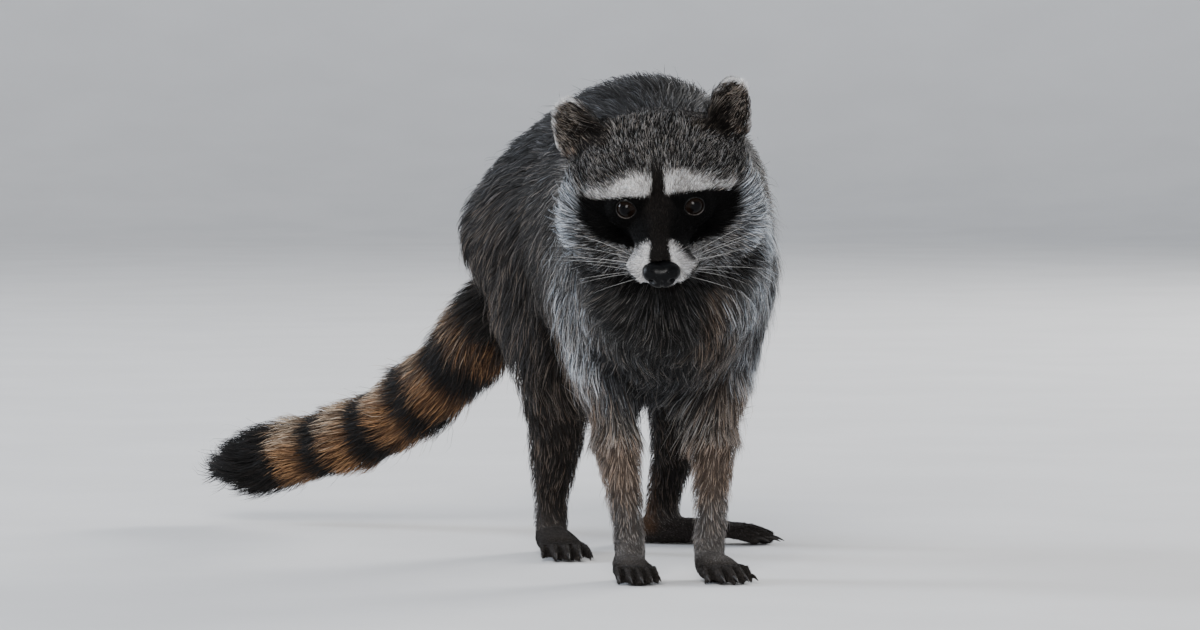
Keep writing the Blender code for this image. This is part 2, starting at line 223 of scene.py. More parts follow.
def tint_points(mesh, tones):
    """Gives each point of a mesh its colour."""
    attribute = mesh.color_attributes.new("tint", "FLOAT_COLOR", "POINT")
    colours = np.concatenate([tones, np.ones((len(tones), 1))], axis=1).astype(np.float32)
    attribute.data.foreach_set("color", colours.ravel())


def spread(values, edges, times):
    """Each value averaged with its neighbours', so many times over."""
    values = np.array(values, float)
    flat = values.reshape(len(values), -1)
    size = len(flat)
    a, b = edges.T
    number = np.bincount(a, minlength=size) + np.bincount(b, minlength=size) + 1.0
    for _ in range(times):
        total = flat.copy()
        for sums, one in zip(total.T, flat.T):
            sums += np.bincount(a, one[b], size) + np.bincount(b, one[a], size)
        flat = total / number[:, None]
    return flat.reshape(values.shape)


def rise(value, low, high):
    """0 below low, 1 above high, a smooth slope between. It falls where low is above high."""
    share = np.clip((np.asarray(value, float) - low) / (high - low), 0, 1)
    return share * share * (3 - 2 * share)


def edge_at(value, at, half):
    """A soft edge: rises from 0 to 1 across a line, or falls where half is negative."""
    return rise(value, at - half, at + half)


def bell(value, half):
    """1 at 0, falling off on both sides over about this much."""
    return np.exp(-(value / half) ** 2)


def columns(*parts):
    """Vectors from their coordinates, each a number or one value for each point."""
    return np.stack(np.broadcast_arrays(*parts), axis=1)


def wander(points, size):
    """A smooth uneven number, mostly between -1 and 1, changing over so many millimetres."""
    ways = WAVES * (2.2 / (size * MM))
    return np.sin(points @ ways.T + WAVE_STARTS).sum(axis=1) / math.sqrt(len(WAVES) / 2)


def column(values):
    return values[:, None]


def in_scene(name, data):
    """A new object that holds this mesh, lamp or camera."""
    thing = bpy.data.objects.new(name, data)
    bpy.context.scene.collection.objects.link(thing)
    return thing


def primitive(operator, **settings):
    bpy.ops.object.select_all(action="DESELECT")
    operator(**settings)
    return bpy.context.active_object


def unit_ball(segments, rings):
    return primitive(bpy.ops.mesh.primitive_uv_sphere_add,
                     segments=segments, ring_count=rings, radius=1.0)


def finished(thing, name, look):
    """Smooths and names a piece and gives it its look and the body that it rides."""
    select_only(thing)
    bpy.ops.object.shade_smooth()
    thing.name = name
    thing.data.name = name
    thing.data.materials.clear()
    thing.data.materials.append(look)
    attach(thing, "root")
    return thing


CLAW_ROOT = 1.5                # the part of a claw that counts as its root, from its rear end
TOE_HIGH = 26.0                # the toes' knuckles are lower than this


def claw_ends(name, number):
    """Where a claw leaves its toe and where it ends."""
    ahead, _ = foot_axes(name)
    points = points_of(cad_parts[f"claw_{name}_{number}"].data)
    run = points @ ahead
    return points[run < run.min() + CLAW_ROOT * MM].mean(axis=0), points[run.argmax()]


def toe_places(name, points, beside, behind):
    """Of all points: how far across a foot and ahead of its toes' ends they lie, the toes' places
    across it, and which points lie among the toes, within so much beside and behind them."""
    ahead, across = foot_axes(name)
    ends = np.array([claw_ends(name, number)[0] for number in CLAWS]) / MM
    at = ends @ across
    u = points @ across / MM
    ahead_by = points @ ahead / MM - np.interp(u, at, ends @ ahead)
    among = (u > at[0] - beside) & (u < at[-1] + beside) & (ahead_by > -behind) & (ahead_by < 6)
    return u, ahead_by, at, among & (points[:, 2] < TOE_HIGH * MM)


# ---------------------------------------------------------------- finishes

MIX_INPUTS, MIX_COLOUR = (0, 6, 7), 2    # sockets of a colour mix: share and two colours; result


class Look:
    """A material and the nodes that make it."""

    def __init__(self, name, level=0.5, roughness=0.5):
        self.material = bpy.data.materials.new(name)
        self.material.use_nodes = True
        self.nodes = self.material.node_tree.nodes
        self.link = self.material.node_tree.links.new
        self.shader = self.nodes["Principled BSDF"].inputs
        self.shader["Roughness"].default_value = roughness
        self.shader["Specular IOR Level"].default_value = level

    def add(self, kind, **inputs):
        node = self.nodes.new(f"ShaderNode{kind}")
        for name, value in inputs.items():
            node.inputs[name.replace("_", " ")].default_value = value
        return node

    def tint(self):
        """The colour that the mesh carries."""
        node = self.add("Attribute")
        node.attribute_name = "tint"
        return node.outputs["Color"]

    def place(self):
        """The piece's own coordinates."""
        return self.add("TexCoord").outputs["Object"]

    def grain(self, scale, detail=3.0, stretch=(1, 1, 1)):
        """Noise in the piece's own coordinates, stretched along an axis."""
        turn = self.add("Mapping", Scale=stretch)
        noise = self.add("TexNoise", Scale=scale, Detail=detail)
        self.link(self.place(), turn.inputs["Vector"])
        self.link(turn.outputs["Vector"], noise.inputs["Vector"])
        return noise.outputs["Fac"]

    def ramp(self, source, low, high, at=(0.35, 0.65)):
        """From one tone to another, each a colour or the number of a grey."""
        made = self.add("ValToRGB")
        for end, position, tone in zip(made.color_ramp.elements, at, (low, high)):
            end.position, end.color = position, (*np.broadcast_to(tone, 3), 1)
        self.link(source, made.inputs["Fac"])
        return made.outputs["Color"]

    def mixed(self, blend, *values):
        """Two colours mixed, from the share, the first and the second, each a socket or a value."""
        mix = self.add("Mix")
        mix.data_type, mix.blend_type = "RGBA", blend
        for number, value in zip(MIX_INPUTS, values):
            if isinstance(value, bpy.types.NodeSocket):
                self.link(value, mix.inputs[number])
            else:
                mix.inputs[number].default_value = value
        return mix.outputs[MIX_COLOUR]

    def darkened(self, colour, source, low, at=(0.35, 0.65)):
        """A colour brought down to this share of itself where the source is low."""
        return self.mixed("MULTIPLY", 1.0, colour, self.ramp(source, low, 1.0, at))

    def bump(self, height, strength, distance):
        bump = self.add("Bump", Strength=strength, Distance=distance)
        self.link(height, bump.inputs["Height"])
        self.link(bump.outputs["Normal"], self.shader["Normal"])

    def finish(self, colour):
        self.link(colour, self.shader["Base Color"])
        return self.material


def coat_look(name, roughness, level, sheen):
    """Hair: the tuft's own colour, a little uneven along it."""
    look = Look(name, level)
    noise = look.grain(900.0, 2.0)
    rough = look.add("MapRange", To_Min=roughness - 0.08, To_Max=roughness + 0.1)
    look.link(noise, rough.inputs["Value"])
    look.link(rough.outputs["Result"], look.shader["Roughness"])
    look.shader["Sheen Weight"].default_value = sheen
    look.shader["Sheen Roughness"].default_value = 0.4
    return look.finish(look.darkened(look.tint(), noise, 0.72, (0.3, 0.7)))


def skin_look():
    """Skin under the coat, and where the hair is too short to stand: bump and streaks."""
    look = Look("short_haired_skin", 0.06, 0.75)
    hair = look.grain(1400.0, 3.0, (1, 0.35, 0.5))
    look.bump(hair, 0.6, 0.0006)
    tone = look.darkened(look.tint(), hair, 0.5)
    return look.finish(look.darkened(tone, look.grain(130.0), (0.9, 0.89, 0.88)))


def nose_look():
    """Moist pebbled leather."""
    look = Look("moist_pebbled_nose", 0.09)
    pebbles = look.add("TexVoronoi", Scale=1300.0)
    look.link(look.place(), pebbles.inputs["Vector"])
    look.bump(pebbles.outputs["Distance"], 0.3, 0.00025)
    noise = look.grain(260.0, 4.0)
    look.link(look.ramp(noise, 0.26, 0.40), look.shader["Roughness"])
    return look.finish(look.ramp(noise, (0.0010, 0.0010, 0.0012), (0.0032, 0.0033, 0.0038)))


def eye_look():
    """Wet eye: iris and pupil as painted on the ball."""
    look = Look("wet_eye", 0.08, 0.05)
    return look.finish(look.darkened(look.tint(), look.grain(2200.0, 4.0), 0.55))


def rim_look():
    look = Look("damp_lid_skin", 0.3, 0.55)
    noise = look.grain(1500.0)
    look.bump(noise, 0.4, 0.0002)
    return look.finish(look.darkened(look.tint(), noise, 0.6))


def claw_look():
    look = Look("dark_horn", 0.18, 0.45)
    streaks = look.grain(700.0, 3.0, (1.0, 0.3, 1.0))
    look.bump(streaks, 0.3, 0.0002)
    return look.finish(look.ramp(streaks, (0.004, 0.0034, 0.003), (0.018, 0.014, 0.012)))


def floor_look():
    """Pale floor, paler still up its wall."""
    look = Look("pale_floor", roughness=0.8)
    tone = look.ramp(look.grain(6.0, 5.0), (0.60, 0.60, 0.605), (0.64, 0.64, 0.645))
    parts, wall = look.add("SeparateXYZ"), look.add("MapRange", From_Max=1.2)
    look.link(look.place(), parts.inputs["Vector"])
    look.link(parts.outputs["Z"], wall.inputs["Value"])
    return look.finish(look.mixed("MIX", wall.outputs["Result"], tone, (0.93, 0.93, 0.94, 1)))


# ---------------------------------------------------------------- markings

# Each kind of hair: colour at the root, of dark hairs, of pale hairs (linear), share of pale hairs
HAIR = {
    # The back: grizzled dark hair whose pale tips are tinted blue as painted sky light.
    "back": ((0.0125, 0.0115, 0.0112), (0.0061, 0.0061, 0.0066), (0.104, 0.107, 0.118), 0.22),
    "flank": ((0.016, 0.0135, 0.012), (0.0072, 0.0067, 0.0065), (0.105, 0.087, 0.073), 0.23),
    "belly": ((0.040, 0.033, 0.028), (0.020, 0.017, 0.015), (0.16, 0.135, 0.11), 0.40),
    "chest": ((0.026, 0.024, 0.022), (0.0115, 0.0108, 0.0105), (0.36, 0.34, 0.32), 0.36),
    "chest_warm": ((0.036, 0.023, 0.016), (0.020, 0.0135, 0.010), (0.33, 0.24, 0.18), 0.40),
    # The throat's hair: dark, and darker still as painted shade under the chin.
    "throat_and_shade": ((0.0060, 0.0058, 0.0057), (0.0036, 0.0035, 0.0034), (0.085, 0.081, 0.078), 0.20),
    # The ruff: pale grey hair whose blue tint is painted sky light.
    "ruff": ((0.112, 0.118, 0.128), (0.042, 0.044, 0.049), (0.85, 0.92, 1.0), 0.60),
    "cheek": ((0.027, 0.026, 0.026), (0.0112, 0.0108, 0.0108), (0.43, 0.43, 0.435), 0.42),
    "forehead": ((0.0095, 0.0088, 0.0087), (0.0056, 0.0054, 0.0054), (0.36, 0.345, 0.335), 0.225),
    "brow": ((0.24, 0.228, 0.22), (0.030, 0.028, 0.027), (1.0, 1.0, 1.0), 0.80),
    "mask": ((0.0022, 0.0021, 0.0021), (0.0016, 0.0016, 0.0016), (0.009, 0.0085, 0.008), 0.12),
    "bridge": ((0.0066, 0.0058, 0.0053), (0.0046, 0.0041, 0.0038), (0.026, 0.0215, 0.019), 0.26),
    "muzzle": ((0.46, 0.455, 0.46), (0.12, 0.115, 0.115), (1.0, 0.99, 0.99), 0.84),
    "ear_back": ((0.016, 0.015, 0.015), (0.009, 0.0088, 0.0088), (0.22, 0.21, 0.205), 0.35),
    "ear_rim": ((0.50, 0.50, 0.52), (0.35, 0.35, 0.37), (1.0, 1.0, 1.0), 0.88),
    "ear_inside": ((0.0080, 0.0068, 0.0060), (0.0060, 0.0052, 0.0046), (0.46, 0.40, 0.35), 0.31),
    # The hollow low inside an ear: dark hair as painted shade in the recess.
    "ear_hollow_shade": ((0.006, 0.005, 0.0045), (0.004, 0.0035, 0.003), (0.06, 0.048, 0.038), 0.2),
    "ear_lobe": ((0.075, 0.046, 0.031), (0.040, 0.026, 0.019), (0.46, 0.33, 0.25), 0.5),
    "foreleg": ((0.085, 0.063, 0.050), (0.042, 0.030, 0.0235), (0.42, 0.325, 0.262), 0.44),
    # Inside the forelegs: dark fur, darker and bluer as painted shade between the legs.
    "inner_leg_and_shade": ((0.009, 0.011, 0.014), (0.0050, 0.0060, 0.0080), (0.105, 0.115, 0.13), 0.24),
    "wrist": ((0.066, 0.060, 0.057), (0.030, 0.027, 0.0255), (0.315, 0.295, 0.285), 0.46),
    "toes": ((0.024, 0.0205, 0.0190), (0.0115, 0.0100, 0.0094), (0.095, 0.082, 0.075), 0.36),
    "thigh": ((0.017, 0.014, 0.0125), (0.0072, 0.0066, 0.0063), (0.155, 0.125, 0.104), 0.29),
    "shank": ((0.017, 0.0138, 0.012), (0.0075, 0.0066, 0.0062), (0.135, 0.105, 0.085), 0.30),
    "heel": ((0.075, 0.038, 0.020), (0.036, 0.020, 0.012), (0.23, 0.13, 0.070), 0.42),
    "tail_dark": ((0.0080, 0.0070, 0.0064), (0.0038, 0.0035, 0.0034), (0.026, 0.019, 0.016), 0.12),
    "tail_light": ((0.17, 0.118, 0.078), (0.095, 0.062, 0.040), (0.58, 0.48, 0.37), 0.62),
    "tail_under": ((0.135, 0.066, 0.030), (0.072, 0.035, 0.016), (0.38, 0.21, 0.10), 0.54),
}
HAIR_NAMES = list(HAIR)
HAIR_TABLE = np.array([[*root, *dark, *pale, share] for root, dark, pale, share in HAIR.values()])

# Of each group: the coat's depth, the tufts' length and half width, tufts to the square mm, and
# how much they clump
DEPTH, LENGTH, WIDTH, DENSITY, CLUMPING = range(5)
BUILD = {
    "head": (2.6, 9.0, 0.12, 2.9, 0.30), "ear": (0.3, 6.2, 0.105, 2.6, 0.35),
    "neck": (8.5, 25.0, 0.195, 1.1, 0.72), "chest": (9.0, 27.0, 0.20, 1.05, 0.78),
    "belly": (9.0, 27.0, 0.26, 0.55, 0.55), "rump": (10.0, 30.0, 0.27, 0.55, 0.62),
    "shoulder": (7.5, 23.0, 0.195, 1.1, 0.74), "forearm": (3.2, 11.5, 0.17, 2.1, 0.5),
    "forepaw": (0.8, 3.4, 0.14, 4.0, 0.2), "thigh": (8.5, 24.0, 0.24, 0.7, 0.62),
    "shank": (3.8, 11.0, 0.21, 1.2, 0.45), "hind_foot": (0.9, 3.2, 0.14, 2.2, 0.2),
    "tail": (13.5, 27.0, 0.25, 0.8, 0.5),
}
GROUPS = list(BUILD)
BUILD_TABLE = np.array(list(BUILD.values()))
COAT_PIECES = {  # which groups each joined mesh of tufts takes in, and how many tufts it may have
    "coat_face": (("head",), 39800), "coat_crown": (("head",), 36000),
    "coat_ears": (("ear",), 14000), "coat_neck": (("neck",), 38000),
    "coat_chest": (("chest",), 35000), "coat_belly": (("belly",), 16000),
    "coat_rump": (("rump",), 26000), "coat_shoulders": (("shoulder",), 25000),
    "coat_forearms": (("forearm", "forepaw"), 27000),
    "coat_hindlegs": (("thigh", "shank", "hind_foot"), 31000),
    "coat_tail": (("tail",), 29000),
}
SHORT_HAIRED = ("coat_face", "coat_crown", "coat_ears")


def group_of(node):
    return next(number for number, group in enumerate(GROUPS) if node.startswith(group))


def in_groups(groups, *names):
    """Each point's share in these groups together."""
    return groups[:, [GROUPS.index(name) for name in names]].sum(axis=1)


STRIPE_X = -1.0                # the dark stripe's middle, in the head's frame
HEAD_ABOVE = 150               # nothing lower than this wears the head's markings


def head_weights(points, weights, share):
    """Adds the head's markings to the weights, for the share of each point that is head."""
    x, y, z = in_head(points).T
    a = np.abs(x - STRIPE_X)
    out = (5, 12, 20, 28, 38, 46, 54)
    brow_z = np.interp(a, out, (13.8, 14.9, 14.4, 12.2, 8.8, 5.0, -0.4)) + 0.05 * x
    brow_half = np.interp(a, out, (5.7, 5.6, 4.8, 4.0, 3.1, 2.7, 3.0))
    top, low = brow_z + brow_half, brow_z - brow_half
    front = rise(y, 34, 24)
    ends = (np.interp(z, (6, 16, 26), edge) for edge in ((5.6, 4.5, 2.6), (4.2, 3.0, 1.0)))
    stripe = rise(a, *ends) * rise(z, 30, 14) * front
    brow = edge_at(z, low, 0.8) * rise(z, top + 5.0, top - 4.0) ** 1.3
    brow = brow * rise(a, 3.0, 5.2) * rise(a, 53, 44) * front
    brow = brow * (1 - 0.38 * rise(a, 22, 44))
    beside = np.minimum(-10.0 - 1.0 * np.maximum(a - 7.5, 0), -12.5 - 0.53 * (y + 33))
    further = np.interp(a, (22, 28, 37, 45, 51), (-30, -28.5, -25, -19, -12))
    mask_low = np.where(a < 22, beside, further)
    mask_back = np.interp(z, (-30, -18, -4, 6, 16), (20, 27, 22, 14, 4))
    mask = edge_at(z, mask_low, 1.4) * edge_at(z, low, -0.8) * rise(a, 51, 46.5)
    mask = mask * edge_at(y, mask_back, -5)
    bridge_half = np.interp(y, (-46, -38, -24, -10, 8), (7.0, 5.6, 6.4, 8.0, 4.6))
    bridge = edge_at(a, bridge_half, -np.interp(y, (-32, -18), (1.0, 3.4)))
    bridge = bridge * rise(y, 6, -4) * rise(z, -24, -20)
    muzzle = rise(z, mask_low + 2.2, mask_low - 3.6) * edge_at(a, bridge_half, 1)
    muzzle = muzzle * rise(y, -12, -24) * edge_at(z, -40.0 + 1.15 * np.maximum(a - 8.5, 0), 2)
    # The white lip stops above the chin, which is left dark as painted shade under the nose.
    lip = rise(z, -10, -24) * rise(y, -2, -18) * rise(z, -46, -37) * rise(a, 17, 9) * 0.7
    ruff = rise(a, 47, 54) * rise(z, 12, -8) * rise(z, -66, -40) * rise(y, 0, 12)
    ends = (np.interp(z, (-30, 12), edge) for edge in ((88, 52), (60, 32)))
    ruff = ruff * rise(y, *ends) * np.interp(y, (22, 56), (0.9, 0.5))
    layers = (
        ("forehead", np.ones_like(x)),
        ("back", rise(y, 34, 56) * rise(z, 4, 20) * 0.8),
        ("cheek", edge_at(z, mask_low, -1.5) * rise(y, -20, -8)),
        # The chin and throat below the mouth get the throat's dark hair, painted shade.
        ("throat_and_shade", rise(z, -44, -58)),
        ("muzzle", lip * rise(y, -10, -20)),
        # Painted light: the pale ruff is up to a third stronger on the head's left side, so that
        # side reads as more brightly lit.
        ("ruff", np.clip(ruff * (1 + 0.35 * rise(x, -10, 30)), 0, 1)),
        ("mask", mask), ("bridge", bridge), ("brow", brow), ("bridge", stripe), ("muzzle", muzzle),
    )
    head = np.zeros_like(weights)
    for name, amount in layers:
        head *= 1 - amount[:, None]
        head[:, HAIR_NAMES.index(name)] += amount
    weights *= 1 - share[:, None]
    weights += head * share[:, None]


# The ruff runs down the sides of these: how far forwards it starts, and how strong it is
RUFF_BELOW = {"neck": (-190, 0.78), "chest": (-165, 0.58), "shoulder": (-168, 0.36)}
# The dark patch inside each foreleg is partly its fur and partly painted shade between the legs:
INNER_LEG = {"left": (8, -8, 0.5), "right": (22, 4, 1.0)}     # the dark patch inside each foreleg
# Where the painted shade in the hollow of each ear is centred:
HOLLOW_SHADE_FROM = {"left": 0, "right": 5}      # the middle of the dark hollow in an ear


def hair_weights(points, normals, groups):
    """How much of each kind of hair grows at each point: the groups' shares and the markings."""
    share = dict(zip(GROUPS, groups.T))
    weights = np.zeros((len(points), len(HAIR)))

    def lay(name, amount):
        amount = np.clip(amount, 0, 1)
        weights[:] *= 1 - amount[:, None]
        weights[:, HAIR_NAMES.index(name)] += amount

    x, y, z = points.T / MM
    facing_x, facing_y, facing_z = normals.T
    leg = np.clip(share["shoulder"] + share["forearm"], 0, 1)
    foot = np.clip(share["forepaw"] + share["hind_foot"], 0, 1)
    front = rise(facing_y, 0.25, -0.35)
    lay("flank", np.ones(len(points)))
    upper = share["rump"] + share["belly"] + share["neck"] + share["chest"]
    # The back's hair on upward surfaces; its blue tint is painted sky light.
    lay("back", rise(facing_z, 0.1, 0.7) * upper)
    lay("belly", share["belly"] * rise(facing_z, -0.2, -0.7))
    breast = np.clip(share["chest"] * 1.2 + share["neck"] * 0.9, 0, 1)
    lay("chest", breast * front * rise(z, 278, 244))
    aside = x - (NOSE_AT[0] / MM + 18)
    # The throat's dark hair, painted shade, runs down the front of the neck and faintly down the
    # middle of the chest.
    lay("throat_and_shade", share["neck"] * front * rise(np.abs(aside), 50, 24) * 0.9)
    lay("throat_and_shade", share["chest"] * front * rise(np.abs(aside - 6), 30, 8) * rise(z, 180, 140) * 0.3)
    lay("chest_warm", (share["chest"] + share["neck"]) * front * rise(np.abs(aside - 36), 17, 7)
        * rise(z, 120, 145) * rise(z, 205, 180) * 0.5)
    centre = np.interp(y, (-275, -165), (HEAD_AT[0] / MM, middle("chest")[0] / MM))
    patchy = 0.85 + 0.3 * wander(points, 34)
    for name, (front_y, amount) in RUFF_BELOW.items():
        band = rise(np.abs(x - centre), 40, 60) * rise(y, front_y + 42, front_y - 24)
        band = band * rise(facing_z, 0.75, 0.4) * rise(z, 92, 130) * patchy
        lay("ruff", share[name] * band * amount * (0.36 + 0.64 * rise(facing_y, 0.10, -0.32)))
    lay("thigh", share["thigh"] * 1.3)
    lay("shank", share["shank"] * 1.2)
    lay("foreleg", share["forearm"] * 1.2 + share["shoulder"] * rise(z, 190, 120))
    lay("chest", leg * rise(z, 92, 140) * rise(facing_y, 0.2, -0.3) * 0.8)
    lay("ruff", leg * rise(z, 98, 150) * rise(z, 215, 170) * rise(facing_y, 0.2, -0.2)
        * rise(np.abs(facing_x), 0.0, 0.7) * (0.48 + 0.16 * wander(points, 22)))
    for side, (starts, full, amount) in INNER_LEG.items():
        off = x - middle(f"forepaw_{side}")[0] / MM
        inner = rise(SIDES[side] * off, starts, full) * amount
        inner = inner * rise(z, 92, 104) * rise(z, 168, 140) * rise(np.abs(off), 46, 30)
        near = np.clip(share["shoulder"] + share["forearm"] + 0.5 * share["chest"], 0, 1)
        # Dark inner fur with painted shade between the forelegs.
        lay("inner_leg_and_shade", near * inner * front)
    lay("wrist", np.clip(share["forearm"] * rise(z, 60, 34) + share["forepaw"], 0, 1) * 0.85)
    lay("toes", foot * rise(z, 16, 9.5))
    lay("shank", share["hind_foot"] * rise(z, 10, 18))
    lay("wrist", share["hind_foot"] * rise(z, 11, 16) * rise(z, 40, 24) * 0.32)
    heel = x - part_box("hind_foot_left")[0][0] / MM
    lay("heel", (share["hind_foot"] + share["shank"]) * rise(heel, 18, 8) * rise(heel, -24, -6)
        * rise(z, 60, 40) * rise(z, 4, 12) * 0.75)
    lay("ear_back", share["ear"])
    for side, way in SIDES.items():
        ex, _, ez = in_ear(points, side).T
        near = share["ear"] * (np.abs(ex) < 30) * (ez > -8) * (ez < 60)
        inside = near * rise(-(normals @ EAR_FRAMES[side][1][1]), 0.0, 0.35)
        lay("ear_inside", inside)
        lay("ear_lobe", inside * rise(ez, 8, 1) * rise(way * ex, 4, 10) * 0.7)
        # Painted shade in the hollow low inside the ear.
        lay("ear_hollow_shade", inside * rise(ez, 26, 14) * rise(way * ex - HOLLOW_SHADE_FROM[side], 11, 0) * 0.85)
        turn, away, edge = round_ear(side, points)
        rim = rise(edge - away, 1.5, 0.5) * rise(turn, -40, -12) * rise(turn, 126, 92)
        lay("ear_rim", near * rim)
    head_weights(points, weights,
                 np.clip(share["head"] * 1.5 - share["ear"] * 1.5, 0, 1) * (z > HEAD_ABOVE))
    run, _, offset = along_tail(points)
    tail, rings = rise(share["tail"], 0.15, 0.6), ring_amount(run)
    lay("tail_dark", tail * rise(run, 0.10, 0.36))
    lay("tail_under", tail * rings)
    lay("tail_light", tail * rings * rise(offset[:, 2], -8 * MM, 14 * MM))
    return weights


EAR_MIDDLE = 13.0              # height of the middle of an ear's outline in the ear's frame
EAR_OUTLINES = {  # the turn from the tip towards the outer side, and how far the edge lies there
    "left": ((-94, -55, -30, -12, 5, 20, 38, 62, 90, 115, 135, 157),
             (13.2, 15.4, 20.2, 23.7, 25.3, 24.3, 20.7, 16.9, 15.6, 16.6, 18.0, 19.0)),
    "right": ((-94, -65, -52, -33, -16, -2, 12, 30, 55, 81, 102, 124, 145),
              (18.6, 18.8, 19.8, 22.6, 24.4, 25.4, 25.2, 23.2, 21.0, 20.2, 19.8, 19.5, 19.5)),
}
EAR_TURNS = np.arange(-75, 101, 12.5)    # where the edge of an ear is measured
EAR_DEPTH = 5.0                # how far the cup of an ear is bowed back


def round_ear(side, points):
    """The turn and distance of each point round an ear's middle, and where the edge lies."""
    x, _, z = in_ear(points, side).T
    out, up = SIDES[side] * x, z - EAR_MIDDLE
    turn = np.degrees(np.arctan2(out, up))
    return turn, np.hypot(out, up), np.interp(turn, *EAR_OUTLINES[side])


def shape_ears(points):
    """Rounds the ears to their outlines and bows them into cups."""
    for side in SIDES:
        turn, away, wanted = round_ear(side, points)
        x, y, z = in_ear(points, side).T
        mine = ear_share(points) > 0.5
        now = np.array([away[mine & (np.abs(turn - at) < 7)].max() for at in EAR_TURNS])
        now = np.convolve(np.pad(now, 1, "edge"), (0.25, 0.5, 0.25), "valid")
        edge = np.interp(turn, EAR_TURNS, now)
        flat = rise(np.abs(y + 3), 17, 12)
        hold = rise(turn, -125, -85) * rise(turn, 150, 100) * flat * rise(z, -5, 3)
        hold = hold * rise(away / edge, 0.1, 0.9) * rise(away / edge, 1.9, 1.3)
        grow = (wanted / edge - 1) * hold
        bow = EAR_DEPTH * np.maximum(1 - (away / wanted) ** 2, 0) * rise(z, -1, 9) * flat
        points += columns(x * grow, bow, (z - EAR_MIDDLE) * grow) @ EAR_FRAMES[side][1] * MM


TAIL_RINGS = [  # where the light rings lie along the tail, half their breadth, how pale they are
    (0.185, 0.024, 0.16), (0.30, 0.026, 0.38), (0.42, 0.028, 0.72), (0.54, 0.030, 0.92),
    (0.675, 0.027, 1.0), (0.80, 0.027, 1.0),
]


def ring_amount(run):
    total = np.zeros_like(run)
    for at, half, pale in TAIL_RINGS:
        total = np.maximum(total, pale * rise(np.abs(run - at), half + 0.016, half - 0.012))
    return total


# ---------------------------------------------------------------- skin

FLESH = [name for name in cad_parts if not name.startswith(("eye", "nose", "claw"))]
SKIN_VOXEL = 1.9
SKIN_KEPT = 0.34               # the share of its triangles that the skin keeps
GAP_CLOSED = 0.35              # each solid is swollen by this, so that they fuse
NAPE = np.array([40.0, -188.0, 272.0])   # middle of the hollow behind the head, which is filled


def flesh_mesh():
    """All solids of flesh in one mesh, a tree of their faces, and the group of each face."""
    fused = bmesh.new()
    corners, faces, owner = [], [], []
    for name in FLESH:
        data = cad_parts[name].data
        fused.from_mesh(data)
        first = len(corners)
        corners += [tuple(v.co) for v in data.vertices]
        faces += [tuple(first + i for i in face.vertices) for face in data.polygons]
        owner += [group_of(name)] * len(data.polygons)
    bmesh.ops.remove_doubles(fused, verts=fused.verts, dist=0.01 * MM)
    fused.normal_update()
    for vertex in fused.verts:
        vertex.co += vertex.normal * GAP_CLOSED * MM
    mesh = bpy.data.meshes.new("skin")
    fused.to_mesh(mesh)
    fused.free()
    return mesh, BVHTree.FromPolygons(corners, faces), np.array(owner)


def nearest_groups(points, tree, owner, edges, times):
    """Each group's share at each point, blurred along the surface, and its depth in the solids."""
    one = np.zeros((len(points), len(GROUPS)))
    depth = np.empty(len(points))
    for i, point in enumerate(points):
        _, _, face, gap = tree.find_nearest(Vector(point))
        one[i, owner[face]] = 1
        depth[i] = gap / MM
    groups = spread(one, edges, times)
    ear = ear_share(points)
    groups *= 1 - ear[:, None]
    groups[:, GROUPS.index("ear")] += ear
    return groups, depth


def ear_share(points):
    """1 on the ears, down to where they stand on the head."""
    total = np.zeros(len(points))
    for side in SIDES:
        x, y, z = in_ear(points, side).T
        mine = rise(np.abs(x), 26, 23) * rise(z, -1, 5) * rise(z, 62, 56)
        total = np.maximum(total, mine * rise(np.abs(y + 3), 15, 11))
    return total


def on_head(groups, elsewhere, there):
    """One measure on the head and another elsewhere, blended where they meet."""
    share = rise(in_groups(groups, "head"), 0.2, 0.8)
    return elsewhere * (1 - share) + there * share


def paw_share(groups):
    return in_groups(groups, "forepaw", "hind_foot")


def coat_depth(points, groups):
    """How deep the skin lies under the tips of the coat, in millimetres."""
    x, y, z = in_head(points).T
    a = np.abs(x - STRIPE_X)
    face = 1.8 + 5.0 * rise(a, 34, 56) * rise(z, 16, -6) + 4.5 * rise(z, -34, -60) * rise(y, -16, 4)
    face = face + 1.8 * rise(y, 10, 40) + 3.0 * rise(y, 34, 58)
    face = face * rise(y, -44, -22) + 0.5 * rise(y, -22, -44)
    face = face * rise(from_eyes(points), 7, 15)
    return on_head(groups, groups @ BUILD_TABLE[:, DEPTH], face)


def weigh(skin, name, amounts):
    """Gives each point of the skin its share in a new group of points."""
    group = skin.vertex_groups.new(name=name)
    levels = np.round(amounts, 2)
    for level in np.unique(levels):
        group.add([int(i) for i in np.nonzero(levels == level)[0]], float(level), "REPLACE")


def smooth(skin, times, group):
    """Smooths the skin as much as each point's share in a group of points says."""
    apply_modifier(skin, "SMOOTH", factor=0.5, iterations=times, vertex_group=group)


